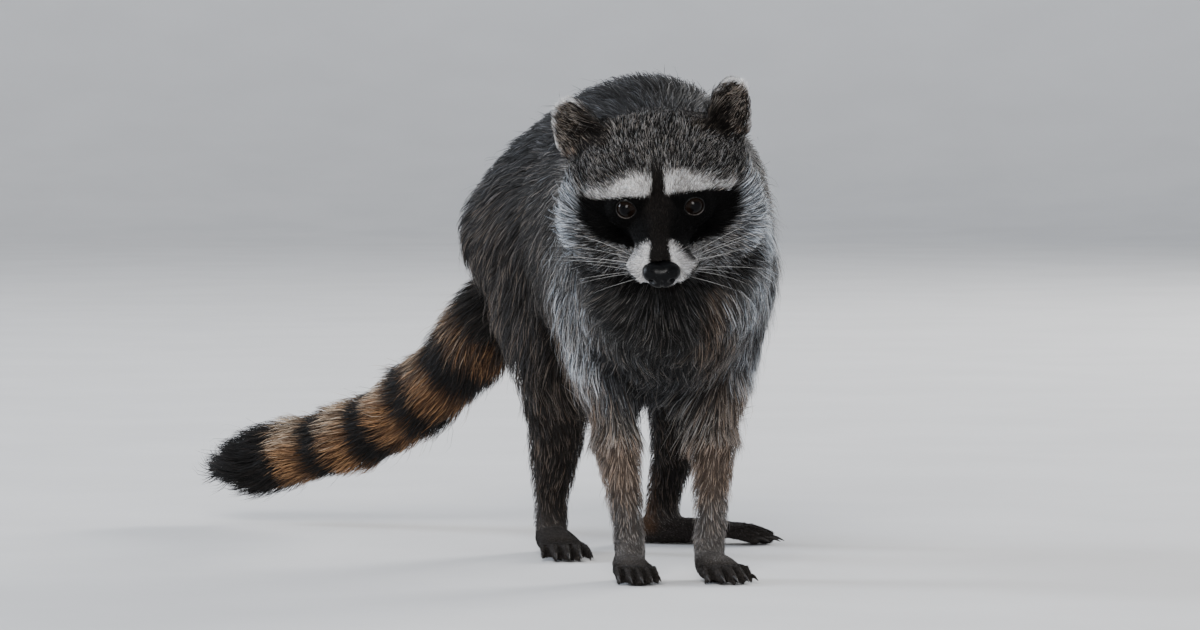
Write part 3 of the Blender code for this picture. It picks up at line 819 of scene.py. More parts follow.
def make_skin():
    """One skin through all the solids of flesh, under the coat's depth, with its fine shapes."""
    mesh, tree, owner = flesh_mesh()
    skin = in_scene("skin", mesh)
    apply_modifier(skin, "REMESH", mode="VOXEL", voxel_size=SKIN_VOXEL * MM)
    points, edges = points_of(skin.data), edges_of(skin.data)
    groups, _ = nearest_groups(points, tree, owner, edges, 18)
    off_ears = 1 - ear_share(points)
    depth = coat_depth(points, groups)
    weigh(skin, "broad", np.clip((depth - 0.6) / 7, 0.06, 1) * off_ears)
    wide = spread(groups, edges, 60)
    joins = rise(1 - wide.max(axis=1), 0.08, 0.42) * off_ears * (1 - paw_share(wide))
    joins = joins * rise(in_groups(groups, "head"), 0.95, 0.5)
    gap = np.linalg.norm((points / MM - NAPE) * np.array([0.7, 1, 1]), axis=1)
    nape = rise(gap, 70, 35) * rise(normals_of(skin.data)[:, 2], 0.0, 0.4)
    weigh(skin, "joins", np.maximum(joins, nape))
    smooth(skin, 220, "joins")
    smooth(skin, 40, "broad")
    depth = spread(depth, edges, 12)[:, None]
    place_points(skin.data, points_of(skin.data) - normals_of(skin.data) * depth * MM)
    smooth(skin, 10, "broad")
    apply_modifier(skin, "DECIMATE", ratio=SKIN_KEPT, vertex_group="broad", vertex_group_factor=0.4)
    refine(skin)
    shape_face(skin.data)
    shape_toes(skin.data)
    points = points_of(skin.data)
    shape_ears(points)
    place_points(skin.data, points)
    return skin, tree, owner


def refine(skin):
    """Finer mesh round the eyes, the nose and the mouth, and on the toes but for their soles."""
    select_only(skin)
    for reach in (17, 12.5):
        in_edit_mode(bpy.ops.mesh.select_all, action="DESELECT")
        faces = skin.data.polygons
        centres = rows_of(faces, "center", 3)
        not_sole = rows_of(faces, "normal", 3)[:, 2] > -0.4
        near = np.linalg.norm(centres - NOSE_AT, axis=1) < (reach + 9) * MM
        for side in SIDES:
            near |= np.linalg.norm(centres - EYE_AT[side], axis=1) < reach * MM
        for name in HEADINGS:
            near |= toe_places(name, centres, 6, reach + 5)[3] & not_sole
        faces.foreach_set("select", near)
        in_edit_mode(bpy.ops.mesh.subdivide, number_cuts=1, smoothness=0.0)
    apply_modifier(skin, "TRIANGULATE")


LID_OPEN, LID_WIDE = 5.3, 6.15           # half the height and half the width between the lids
LID_AT = EYE_RADIUS + 0.45     # radius of the lids' edge round the ball's centre
EYE_SUNK = 2.2                 # how much deeper than its solid an eyeball sits
GAZE_OUT, GAZE_UP = (math.radians(turn) for turn in (19.0, 6.0))


def gaze(side):
    """Axes of an eye: to its outer corner, up, and the way it looks."""
    way = SIDES[side]
    level = math.cos(GAZE_UP)
    look = np.array([way * math.sin(GAZE_OUT) * level, -math.cos(GAZE_OUT) * level,
                     math.sin(GAZE_UP)]) @ HEAD_AXES
    up = unit(HEAD_AXES[2] - look * (HEAD_AXES[2] @ look))
    across = np.cross(look, up)
    return across * (1 if across @ HEAD_AXES[0] * way > 0 else -1), up, look


def lid_edge(turn):
    """The angle from the gaze to the lid's edge, by the turn round it (0 at the outer corner)."""
    c, s = np.cos(turn), np.sin(turn)
    wide = np.where(c > 0, LID_WIDE, LID_WIDE + 0.5 * np.abs(c) ** 6)
    tall = np.where(s > 0, LID_OPEN + 0.4, LID_OPEN)
    reach = 1 / np.sqrt((c / wide) ** 2 + (s / tall) ** 2)
    return np.arcsin(np.clip(reach / (EYE_RADIUS + 0.2), 0, 0.97))


def eye_centre(side):
    return EYE_AT[side] - gaze(side)[2] * EYE_SUNK * MM


def shape_lids(points, edges, side):
    """Lids hugging the eye, running out into brow and cheek, with a fold above the upper one."""
    across, up, look = gaze(side)
    part = (points - eye_centre(side)) / MM
    high = part @ look
    flat = part - high[:, None] * look
    out = np.linalg.norm(flat, axis=1)
    near = (out < 17) & (high > -3) & (high < 25)
    turn = np.arctan2(flat @ up, flat @ across)
    edge = lid_edge(turn)
    edge_out, edge_high = LID_AT * np.sin(edge), LID_AT * np.cos(edge)
    beyond = out - edge_out
    upper = rise(np.sin(turn), 0.0, 0.6)
    slope = (0.42 - 0.14 * upper) * np.maximum(beyond - 1.4, 0)
    raised = edge_high + 0.35 * rise(beyond, 0, 1.0) - slope
    raised = raised - 0.55 * upper * bell(beyond - 3.0, 0.8)
    target = np.where(high > raised, raised + (high - raised) * rise(beyond, 0.8, 5.0), raised)
    hold = rise(out, 16.5, 9.5)
    high = np.where(near & (beyond > 0), high * (1 - hold) + target * hold, high)
    inside = near & (beyond <= 0)
    ball = np.sqrt(np.maximum((EYE_RADIUS - 1.0) ** 2 - out ** 2, 0))
    high = np.where(inside, ball, high)
    snap = near & (beyond > -1.1) & (beyond < 0.3)
    high, out_now = np.where(snap, edge_high, high), np.where(snap, edge_out, out)
    flat = flat * (out_now / np.maximum(out, 1e-6))[:, None]
    placed = eye_centre(side) + (flat + high[:, None] * look) * MM
    points[near] = placed[near]
    soft = near & (beyond > 0.5) & (out < 16)
    points[soft] = spread(points, edges, 3)[soft]


def lip_line(x, y, z, curve, half):
    """1 along the line of the mouth, which is this much curved and this wide."""
    lip_z = -41.0 + curve * x * x - 0.10 * (y + 44)
    return bell(z - lip_z, half) * rise(y, -6, -18) * (np.abs(x) < 26)


def shape_face(mesh):
    """Lids, whisker pads, the lip line and the furrow under the nose."""
    points, edges = points_of(mesh), edges_of(mesh)
    for side in SIDES:
        shape_lids(points, edges, side)
    x, y, z = in_head(points).T
    outwards = unit(columns(np.sign(x) * 0.9, -0.35, 0.05)) @ HEAD_AXES
    pad = np.exp(-(((np.abs(x) - 15) / 8) ** 2 + ((y + 35) / 11) ** 2 + ((z + 27) / 9) ** 2))
    points += outwards * (pad * 1.8 * MM)[:, None]
    furrow = bell(x, 1.1) * rise(y, -30, -42) * rise(z, -30, -35) * rise(z, -48, -42)
    inwards = unit(columns(-x * 0.6, 8.0, 0.0)) @ HEAD_AXES
    lips = lip_line(x, y, z, 0.004, 1.1)
    points += inwards * ((furrow * 1.2 + lips * 1.6) * MM)[:, None]
    place_points(mesh, points)


# Of the hind foot turned out and of the others: how much they are plumped, and behind the toes
# from where to where that grows
PLUMP_LONG, PLUMP_SHORT = (3.4, -62, -24), (1.0, -26, -10)
SOLE_LOW = 0.8                 # no lower than this do the knuckles and grooves reach


def shape_toes(mesh):
    """Grooves between the toes and rounded knuckles along them."""
    points, normals = points_of(mesh), normals_of(mesh)
    upwards = rise(normals[:, 2], 0.0, 0.6)
    for name in HEADINGS:
        ahead, _ = foot_axes(name)
        u, ahead_by, at, here = toe_places(name, points, 7, 26)
        groove = bell(u[:, None] - (at[1:] + at[:-1]) / 2, 1.25).max(axis=1)
        crown = bell(u[:, None] - at, 2.4).max(axis=1)
        top = upwards * (rise(ahead_by, -21, -12) * here)
        front = rise(normals @ ahead, 0.0, 0.6) * here
        most, starts, full = PLUMP_LONG if name == "hind_foot_left" else PLUMP_SHORT
        plump = rise(ahead_by, starts, full) * rise(ahead_by, 4, -3) * upwards
        points[:, 2] += most * plump * toe_places(name, points, 9, math.inf)[3] * MM
        points[:, 2] -= (groove * 3.6 - crown * 1.3) * top * MM
        points -= ahead * ((groove * 6.0 - crown * 1.6) * front * MM)[:, None]
        points[here & (points[:, 2] < SOLE_LOW * MM), 2] = SOLE_LOW * MM
    place_points(mesh, points)


# ---------------------------------------------------------------- how the coat lies


def project(vectors, normals):
    """The part of each vector that runs along the surface, as a unit vector."""
    return unit(vectors - normals * (vectors * normals).sum(axis=1, keepdims=True))


# How far back the hair leans on the legs, for its fall
LEG_LEAN = {"shoulder": 0.30, "forearm": 0.12, "thigh": 0.35, "shank": 0.1}


def lie_of_coat(points, normals, groups, edges):
    """The way the hair runs over the skin at each point."""
    share = dict(zip(GROUPS, groups.T))
    total = np.zeros_like(points)

    def pull(amount, direction):
        total[:] += np.asarray(amount)[:, None] * direction

    x, y, z = points.T / MM
    side_on = np.abs(normals[:, 0])
    front = rise(normals[:, 1], 0.1, -0.6)
    aside = x - middle("chest")[0] / MM
    inward = -np.sign(aside) * rise(np.abs(aside), 0, 18)
    for name in ("rump", "belly"):
        pull(share[name], columns(0, 1, -0.55 * side_on))
    down = columns(0.30 * inward, 0.25, -1)
    flank = columns(0, 1, -0.8 * side_on)
    pull(share["chest"], unit(down * front[:, None] + (1 - front)[:, None] * flank))
    fall = np.array([0, 0.5, -0.75]) * (0.4 + 0.9 * front)[:, None]
    pull(share["neck"], unit(unit(points - from_head((0, -30, -6))) + fall))
    for name, lean in LEG_LEAN.items():
        pull(share[name], unit(np.array([0, lean, -1])))
    flat = rise(z, 30, 14)[:, None]
    for name in HEADINGS:
        low, high = (np.array(end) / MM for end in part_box(name))
        here = (x > low[0] - 8) & (x < high[0] + 8) & (y > low[1] - 8) & (y < high[1] + 8)
        pull(paw_share(groups) * here, unit(foot_axes(name)[0] * flat + np.array([0, 0, -0.75])))
    pull(share["tail"] * 1.3, along_tail(points)[1])
    h = in_head(points)
    radial = unit((h - np.array([0, -52, -24])) * np.array([1.15, 1.0, 1.0]))
    radial[:, 1] = np.maximum(radial[:, 1], 0.25)
    radial[:, 2] -= 0.45 * rise(h[:, 2], -4, -34) * rise(np.abs(h[:, 0]), 12, 40)
    away = np.zeros_like(h)
    for side in SIDES:
        off = (points - EYE_AT[side]) @ HEAD_AXES.T / MM
        near = bell(np.linalg.norm(off, axis=1), 11)
        away += unit(off * np.array([1.0, 0.6, 0.8])) * near[:, None]
    pull(share["head"], (unit(radial) + away) @ HEAD_AXES)
    for side, way in SIDES.items():
        axes = EAR_FRAMES[side][1]
        ex, ey, ez = in_ear(points, side).T
        mine = share["ear"] * (np.abs(ex) < 32) * (np.abs(ey) < 32) * (ez > -14) * 2.5
        facing = rise(-(normals @ axes[1]), 0.0, 0.4)
        pull(mine * facing, unit(np.array([way * 0.75, 0, 0.65])) @ axes)
        pull(mine * (1 - facing), unit(columns(ex / 30, 0, 1)) @ axes)
    flow = project(total, normals)
    for _ in range(6):
        flow = project(spread(flow, edges, 4), normals)
    return flow


def bend_along(points, normals, flow, edges):
    """How fast the skin curves away in the way the hair runs, per metre."""
    over, under = np.zeros(len(points)), np.full(len(points), 1e-9)
    for a, b in (edges.T, edges.T[::-1]):
        step = points[b] - points[a]
        run = (step * flow[a]).sum(axis=1)
        turned = ((normals[b] - normals[a]) * flow[a]).sum(axis=1)
        size = (step ** 2).sum(axis=1) + 1e-12
        over += np.bincount(a, turned * run / size, len(points))
        under += np.bincount(a, run * run / size, len(points))
    return np.clip(spread(over / under, edges, 8), -22, 60)


class Field:
    """What is known at every point of the skin and read off at any place on it."""

    def __init__(self, mesh, tree, owner):
        self.points, self.normals, self.edges = points_of(mesh), normals_of(mesh), edges_of(mesh)
        mesh.calc_loop_triangles()
        self.triangles = rows_of(mesh.loop_triangles, "vertices", 3, int)
        self.groups, depth = nearest_groups(self.points, tree, owner, self.edges, 14)
        self.depth = spread(depth, self.edges, 10)
        self.flow = lie_of_coat(self.points, self.normals, self.groups, self.edges)
        self.bend = bend_along(self.points, self.normals, self.flow, self.edges)
        self.weights = hair_weights(self.points, self.normals, self.groups)
        first, second, third = (self.points[corner] for corner in self.triangles.T)
        cross = np.cross(second - first, third - first)
        self.areas = np.linalg.norm(cross, axis=1) / 2 / MM ** 2
        self.centres = self.points[self.triangles].mean(axis=1)
        self.triangle_groups = self.groups[self.triangles].mean(axis=1)


def usual_length(groups):
    return groups @ BUILD_TABLE[:, LENGTH]


def hair_length(points, groups):
    """Length of the tufts in millimetres: shortest on the muzzle, the ears and the feet."""
    x, y, z = in_head(points).T
    a = np.abs(x - STRIPE_X)
    height = points[:, 2] / MM
    length = usual_length(groups)
    length = length + 9 * in_groups(groups, "chest") * rise(height, 160, 125)
    face = np.interp(y, (-46, -34, -12, 4, 24, 40, 60), (2.4, 4.2, 4.6, 6.5, 9.5, 13.0, 22.0))
    face = face + 13 * rise(a, 36, 58) * rise(z, 16, -8) + 9 * rise(z, -32, -56) * rise(y, -20, 4)
    face = np.where((np.abs(z + 26) < 14) & (y < -22) & (a > 9), face + 2.6, face)
    face = face * (0.28 + 0.72 * rise(from_eyes(points), 9, 17))
    length = on_head(groups, length, face)
    length = length * (1 - 0.45 * paw_share(groups) * rise(height, 21, 12))
    for side, way in SIDES.items():
        ex, ey, ez = in_ear(points, side).T
        near = ear_share(points) * (np.abs(ex) < 30) * (np.abs(ez - 20) < 40)
        fan = 9.0 * near * rise(way * ex, 4, -8)
        length = length + fan * rise(ez, 34, 20) * rise(ey, 1.0, -2.0)
        _, away, edge = round_ear(side, points)
        length = length * (1 - 0.70 * near * rise(edge - away, 3.5, 1.0))
        foot = rise(np.abs(ex), 30, 22) * rise(ez, 9, 2) * rise(ez, -16, -8)
        foot = foot * rise(np.abs(ey + 4), 26, 14)
        length = length * (1 - 0.55 * foot * (1 - near))
    return length


def make_unwrap(skin):
    """Where each triangle of the skin lies on an unwrap of the skin's own shape."""
    select_only(skin)
    in_edit_mode(bpy.ops.mesh.select_all, action="SELECT")
    in_edit_mode(bpy.ops.uv.smart_project, angle_limit=math.radians(66), island_margin=0.002)
    mesh = skin.data
    layer = mesh.uv_layers.active
    layer.name = "OFBake"
    mesh.calc_loop_triangles()
    places = rows_of(layer.uv, "vector", 2, np.float32)
    return places[rows_of(mesh.loop_triangles, "loops", 3, int)]


# A tuft is a blade of seven points in four rows: pairs of points and a tip
BLADE = np.array([0.0, 0.36, 0.70, 1.0])          # where its rows lie along it
BLADE_WIDTH = np.array([0.75, 1.0, 0.62, 0.0])
BLADE_SHADE = np.array([0.35, 0.8, 1.0, 1.1])
BLADE_TIP = np.array([0.0, 0.22, 0.75, 1.0])      # how much of the tip's colour each row has
BLADE_LOOPS = np.array([0, 1, 3, 2, 2, 3, 5, 4, 4, 5, 6])
BLADE_FACES = np.array([0, 4, 8])                 # where each of its faces starts among these
BLADE_UV = np.array([(0.0, 0.0), (1.0, 0.0), (0.0, 0.36), (1.0, 0.36), (0.0, 0.7), (1.0, 0.7),
                     (0.5, 1.0)])
PATCH = 0.003                  # side of a tuft's patch on the unwrap
SEEN_AT = 0.6                  # how far along a tuft the marking that it wears is read
LOOSE = 0.07                   # the share of long hairs that stand out of their lock
LOOSE_LONGER, LOOSE_HIGHER = 1.28, 1.7
FACE_BACK = 8.0                # how far behind the eyes the face's tufts end and the crown's begin
MOST_DRAWN = 0.85              # how far a lock draws its tips together at most
EDGE_MIXED = 0.6               # how far the hairs of two markings mingle at their edge
STEEP, LESS_STEEP = 0.72, 0.44           # most height for a tuft's length; less on feet and ears
ROOT_SUNK, HAIR_LOW = 0.3, 0.2           # depth of the roots in the skin; lowest place of a hair


def roots_of(name, groups_in, most, field):
    """Which triangle of the skin each tuft of a piece grows on, and where on it."""
    groups = field.triangle_groups
    mine = np.isin(groups.argmax(axis=1), [GROUPS.index(group) for group in groups_in])
    behind = in_head(field.centres)[:, 1]
    if name == "coat_face":
        mine &= behind < FACE_BACK
    elif name == "coat_crown":
        mine &= behind >= FACE_BACK
    length = hair_length(field.centres, groups)
    crowding = np.clip(usual_length(groups) / np.maximum(length, 1), 0.5, 1.9)
    thick = (groups @ BUILD_TABLE)[:, DENSITY] * field.areas * mine * crowding
    count = min(most, int(thick.sum()))
    chosen = chance.choice(len(thick), count, p=thick / thick.sum())
    s, t = np.sqrt(chance.random(count)), chance.random(count)
    return chosen, np.stack([1 - s, s * (1 - t), s * t], axis=1)


def make_coat(name, groups_in, most, field, unwrap, look):
    """One joined mesh of tufts that rise from the skin and lie down along it."""
    chosen, mix = roots_of(name, groups_in, most, field)
    count = len(chosen)
    corners = field.triangles[chosen]

    def read(values):
        got = values[corners]
        return (got * mix.reshape(count, 3, *([1] * (got.ndim - 2)))).sum(axis=1)

    root, normal, flow = read(field.points), unit(read(field.normals)), read(field.flow)
    groups, depth, bend = read(field.groups), read(field.depth), read(field.bend)
    flow = project(flow, normal)
    across = np.cross(flow, normal)
    build = groups @ BUILD_TABLE
    length = hair_length(root, groups) * chance.uniform(0.72, 1.2, count)
    length = length * (1 + 0.10 * wander(root, 14))
    calm = 1 - 0.75 * in_groups(groups, "rump", "belly", "tail")
    loose = chance.random(count) < LOOSE * rise(length, 8, 14) * calm
    length = np.where(loose, length * LOOSE_LONGER, length)
    ahead = SEEN_AT * length * MM
    seen = root + flow * column(ahead) - normal * column(bend * ahead ** 2 / 2)
    seen = seen + chance.normal(0, EDGE_MIXED * MM, root.shape)
    weights = hair_weights(seen, normal, groups)
    stray = np.radians(chance.normal(0, 9, count)) + np.radians(11) * wander(root, 26)
    flow = flow * column(np.cos(stray)) + across * column(np.sin(stray))
    across = np.cross(flow, normal)
    height = np.maximum(depth, 0.125 * length) * chance.uniform(0.45, 1.15, count)
    height = height * (1 + 0.55 * in_groups(groups, "forearm"))
    height = np.where(loose, height * LOOSE_HIGHER, height)
    most_high = STEEP - LESS_STEEP * in_groups(groups, "forepaw", "hind_foot", "ear")
    height = np.minimum(height, most_high * length)
    rows = blades(root, normal, flow, bend, length, height)
    rows = clumped(rows, root, build[:, CLUMPING] * (1 - 0.85 * loose), length)
    rows[:, 0] = root - normal * ROOT_SUNK * MM
    ahead = unit(np.gradient(rows, axis=1))
    roll = chance.normal(0, 0.55, count)
    flat = (across * column(np.cos(roll)) + normal * column(np.sin(roll)))[:, None, :]
    wide = column(build[:, WIDTH] * chance.uniform(0.75, 1.3, count) * MM) * BLADE_WIDTH
    wider = np.clip(hair_length(root, groups) / np.maximum(usual_length(groups), 1), 0.7, 1.35)
    wide = wide * column(wider * (1 - 0.5 * loose))
    aside = unit(flat - ahead * (flat * ahead).sum(axis=2, keepdims=True)) * wide[:, :, None]
    pairs = np.stack([(rows - aside)[:, :3], (rows + aside)[:, :3]], axis=2)
    points = np.concatenate([pairs.reshape(count, 6, 3), rows[:, 3:]], axis=1)
    points[:, :, 2] = np.maximum(points[:, :, 2], HAIR_LOW * MM)
    tint = tuft_colours(weights, root, loose)
    place = (unwrap[chosen] * mix[:, :, None]).sum(axis=1)
    tuft_piece(name, points, tint, place, look)


def blades(root, normal, flow, bend, length, height):
    """The four rows of each tuft, rising to its height and curving with the skin under it."""
    run = np.sqrt(np.maximum(length ** 2 - height ** 2, 1)) * MM
    curve = np.where(np.abs(bend) < 1e-3, 1e-3, bend)
    rows = []
    for u in BLADE:
        turned = curve * run * u
        along = np.sin(turned) / curve
        fall = (1 - np.cos(turned)) / curve
        up = height * MM * (1 - (1 - u) ** 2.2)
        out = unit(normal * column(np.cos(turned)) + flow * column(np.sin(turned)))
        rows.append(root + flow * column(along) - normal * column(fall) + out * column(up))
    return np.stack(rows, axis=1)


def clumped(rows, root, amount, length):
    """Draws neighbouring tufts together towards their tips, in locks."""
    count = len(root)
    share = np.interp(length.mean(), (8, 22), (0.055, 0.030))
    heads = chance.choice(count, max(int(count * share), 1), replace=False)
    tree = KDTree(len(heads))
    for number, i in enumerate(heads):
        tree.insert(root[i], number)
    tree.balance()
    nearest = np.array([heads[tree.find(point)[1]] for point in root])
    gap = np.linalg.norm(root[nearest] - root, axis=1) / MM
    amount = amount * np.clip(1.25 - gap / (0.34 * length + 2.5), 0, 1)
    amount = amount * chance.uniform(0.5, 1.15, count)
    pull = column(np.clip(amount, 0, MOST_DRAWN)) * (BLADE ** 1.6)[None]
    return rows * (1 - pull[:, :, None]) + rows[nearest] * pull[:, :, None]


def tuft_colours(weights, root, loose):
    """Colour at each of the seven points of each tuft, from the root to the tip."""
    count = len(root)
    weights = weights / np.maximum(weights.sum(axis=1, keepdims=True), 1e-9)
    drawn = (weights.cumsum(axis=1) > chance.random((count, 1))).argmax(axis=1)
    weights = 0.5 * weights
    weights[np.arange(count), drawn] += 0.5
    base, dark, pale, share = hair_values(weights)
    share = share[:, 0] * (1 + 0.22 * wander(root, 9) + 0.16 * wander(root, 40)) + 0.35 * loose
    light = chance.random(count) < np.clip(share, 0.02, 0.98)
    tip = np.where(column(light), pale, dark) * column(chance.uniform(0.7, 1.22, count))
    tip = tip * (1 + chance.normal(0, 0.05, (count, 1)) * np.array([[1.0, 0.0, -1.0]]))
    blend = BLADE_TIP[None, :, None]
    rows = (base[:, None] * (1 - blend) + tip[:, None] * blend) * BLADE_SHADE[None, :, None]
    rows = np.clip(rows, 0, 1)
    return np.concatenate([np.repeat(rows[:, :3], 2, axis=1), rows[:, 3:]], axis=1)


def hair_values(weights):
    """Root, dark and pale colour and share of pale hairs, for each row of weights."""
    return np.split(weights @ HAIR_TABLE, (3, 6, 9), axis=1)


def tuft_piece(name, points, tint, place, look):
    """The mesh of all the tufts of a piece, coloured at its points and laid on the unwrap."""
    count = len(points)
    mesh = bpy.data.meshes.new(name)
    mesh.vertices.add(count * 7)
    mesh.loops.add(count * len(BLADE_LOOPS))
    mesh.polygons.add(count * len(BLADE_FACES))
    numbers = column(np.arange(count))
    loops = (numbers * 7 + BLADE_LOOPS).ravel().astype(np.int32)
    starts = (numbers * len(BLADE_LOOPS) + BLADE_FACES).ravel().astype(np.int32)
    mesh.vertices.foreach_set("co", points.astype(np.float32).ravel())
    mesh.loops.foreach_set("vertex_index", loops)
    mesh.polygons.foreach_set("loop_start", starts)
    mesh.update(calc_edges=True)
    tint_points(mesh, tint.reshape(-1, 3))
    layer = mesh.uv_layers.new(name="OFBake")
    uv = np.clip(place[:, None, :] + (BLADE_UV[None] - 0.5) * PATCH, 0.0, 1.0)[:, BLADE_LOOPS]
    layer.uv.foreach_set("vector", uv.astype(np.float32).ravel())
    mesh.validate()
    finished(in_scene(name, mesh), name, look)


def colour_skin(mesh, field):
    """The same markings on the skin as on the coat, darker as in the shade of the hair."""
    total = field.weights.sum(axis=1, keepdims=True)
    base, dark, pale, share = hair_values(field.weights / np.maximum(total, 1e-9))
    tone = base * 0.5 + 0.5 * (pale * share + dark * (1 - share))
    tone = tone * (0.75 - 0.35 * column(rise(field.depth, 0.8, 5)))
    tone = tone * column(0.6 + 0.4 * rise(from_eyes(field.points), 9.2, 11.5))
    tone = tone * column(1 - 0.8 * lip_line(*in_head(field.points).T, 0, 1.4))
    tint_points(mesh, tone)


# ---------------------------------------------------------------- eyes, nose, claws and whiskers

IRIS, PUPIL = np.array([0.0060, 0.0036, 0.0024]), np.array([0.0015, 0.0015, 0.002])
EYE_WHITE = np.array([0.012, 0.009, 0.008])
LID_DARK, LID_PALE = np.array([0.0016, 0.0015, 0.0015]), np.array([0.05, 0.042, 0.038])


def blended(first, second, share):
    """From the first colour to the second by each point's share."""
    return first * (1 - column(share)) + second * column(share)


def face_outwards(mesh, side):
    """The two eyes are mirrored, so that one of them comes out inside out."""
    if np.linalg.det(np.array(gaze(side))) < 0:
        mesh.flip_normals()


def make_eye(side, look):
    """The ball with a cornea that stands a little proud of it, a dark iris and a black pupil."""
    ball = unit_ball(64, 40)
    mesh = ball.data
    local = points_of(mesh)
    way = unit(local @ np.array(gaze(side)))
    angle = np.degrees(np.arccos(np.clip(local[:, 2], -1, 1)))
    radius = EYE_RADIUS - 0.15 + 0.55 * rise(angle, 44, 8)
    place_points(mesh, eye_centre(side) + way * column(radius * MM))
    face_outwards(mesh, side)
    iris = IRIS * column(0.6 + 0.6 * rise(angle, 22, 40))
    tone = blended(EYE_WHITE, iris, rise(angle, 50, 44))
    tint_points(mesh, blended(tone, PUPIL, rise(angle, 25, 21)))
    made = finished(ball, f"eyeball_{side}", look)
    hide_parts(f"eye_{side}")


def make_lids(side, look):
    """The bare damp edge of the lids: black above, paler along the lower one."""
    rim = primitive(bpy.ops.mesh.primitive_torus_add, major_segments=80, minor_segments=10,
                    major_radius=1.0, minor_radius=0.25)
    across, up, ahead = gaze(side)
    x, y, z = points_of(rim.data).T
    turn, about = np.arctan2(y, x), np.arctan2(z, np.hypot(x, y) - 1)
    angle = lid_edge(turn) + math.radians(0.8)
    radial = column(np.cos(turn)) * across + column(np.sin(turn)) * up
    way = column(np.cos(angle)) * ahead + column(np.sin(angle)) * radial
    aside = project(radial, way)
    radius = (0.36 + 0.10 * rise(np.sin(turn), 0, 0.8)) * MM
    centres = eye_centre(side) + way * (LID_AT - 0.22) * MM
    round_centres = column(np.cos(about)) * aside + column(np.sin(about)) * way
    place_points(rim.data, centres + round_centres * column(radius))
    face_outwards(rim.data, side)
    below = rise(np.sin(turn), -0.15, -0.7) * rise(np.abs(np.cos(turn)), 0.95, 0.7)
    tint_points(rim.data, blended(LID_DARK, LID_PALE, below))
    finished(rim, f"lid_edge_{side}", look)


CLAW_SHORT = 0.72              # the length of a claw as a share of its solid's
CLAW_SUNK = 4.6                # how far a claw reaches back into its toe
CLAW_DEEP, CLAW_WIDE = 1.05, 0.72        # half its depth and half its breadth, for its size
UPWARDS = np.array([0, 0, 1.0])


def make_claws(look):
    """Short curved claws, deeper than they are wide, that come out of the toes' ends."""
    for name in HEADINGS:
        for number in CLAWS:
            base, tip = claw_ends(name, number)
            tip = tip * CLAW_SHORT + base * (1 - CLAW_SHORT)
            claw = unit_ball(14, 18)
            x, y, z = points_of(claw.data).T
            ahead = unit((tip - base) * np.array([1, 1, 0]))
            aside = np.array([-ahead[1], ahead[0], 0])
            share = (z + 1) / 2
            start = base - ahead * CLAW_SUNK * MM + UPWARDS * 0.6 * MM
            arch = UPWARDS * column(np.sin(share * math.pi) * MM)
            axis = start + (tip - start) * column(share) + arch
            blunt = np.minimum(np.sqrt(np.maximum(1 - z * z, 0)) * 2.4, 1)
            size = 1.5 * (1 - 0.86 * share ** 1.5) / np.maximum(np.hypot(x, y), 1e-6) * blunt
            down = UPWARDS * column(x * size * CLAW_DEEP * MM)
            place_points(claw.data, axis + aside * column(y * size * CLAW_WIDE * MM) + down)
            fix = bmesh.new()
            fix.from_mesh(claw.data)
            bmesh.ops.recalc_face_normals(fix, faces=fix.faces)
            fix.to_mesh(claw.data)
            fix.free()
            made = finished(claw, f"horn_{name}_{number}", look)
            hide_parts(f"claw_{name}_{number}")


NOSE_POWER = 2.7               # 2 would make the nose round, and more makes it squarer
NOSE_TIP = math.radians(8)


def make_nose(look):
    """The bare nose pad: broad above, narrower below, with comma nostrils and a furrow."""
    nose = unit_ball(96, 64)
    x, y, z = points_of(nose.data).T
    size = sum(np.abs(part) ** NOSE_POWER for part in (x, y, z)) ** (-1 / NOSE_POWER)
    x, y, z = x * size, y * size, z * size
    x = x * (1 - 0.26 * rise(z, 0.1, -1.0)) * 11.6
    y = y * 7.8
    z = np.where(z > 0, z * 7.3, z * 8.4)
    front = rise(y, 0.5, -5.0)
    side_on = rise(np.abs(x), 3.0, 8.5)
    for way in SIDES.values():
        hole = np.exp(-(((way * x - 6.1) / 1.9) ** 2 + ((z + 2.6) / 1.7) ** 2) ** 1.3)
        off = way * x - 9.0
        slit = np.exp(-((off / 2.6) ** 2 + ((z + 3.9 - 0.25 * off) / 0.8) ** 2))
        wing = np.exp(-(((way * x - 8.6) / 2.6) ** 2 + ((z - 0.6) / 2.2) ** 2))
        y = y + front * (hole * 4.2 + slit * 2.4 - wing * 0.9)
        x = x - way * slit * (1 - front) * 1.2
    furrow = bell(x, 0.75) * rise(z, 0.5, -2.5)
    top_dip = bell(x, 2.8) * rise(z, 2.0, 6.0)
    y = y + front * (furrow * 1.5) + side_on * 1.2
    z = z - top_dip * 0.6
    c, s = math.cos(NOSE_TIP), math.sin(NOSE_TIP)
    turn = np.array([[1, 0, 0], [0, c, -s], [0, s, c]])
    place_points(nose.data, NOSE_AT + (columns(x, y, z) * MM @ turn.T) @ HEAD_AXES)
    made = finished(nose, "nose_pad", look)
    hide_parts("nose")


WHISKER_ROWS = [  # start out, back and up in the head's frame, then the way they set off, length
    (13.5, -37, -22, 1.0, 0.16, 0.46, 50), (14.5, -35, -24, 1.0, 0.22, 0.36, 60),
    (15.0, -34, -26, 1.0, 0.26, 0.24, 64), (15.5, -33, -28, 1.0, 0.30, 0.10, 62),
    (15.0, -36, -30, 1.0, 0.20, -0.04, 56), (14.5, -34, -32, 1.0, 0.26, -0.18, 48),
    (13.0, -39, -29, 1.0, 0.05, 0.14, 40), (13.0, -39, -33, 1.0, 0.10, -0.22, 38),
    (12.5, -40, -25, 1.0, 0.02, 0.34, 34),
]
WHISKER_SIDES, WHISKER_STEPS, WHISKER_RADIUS = 4, 14, 0.08


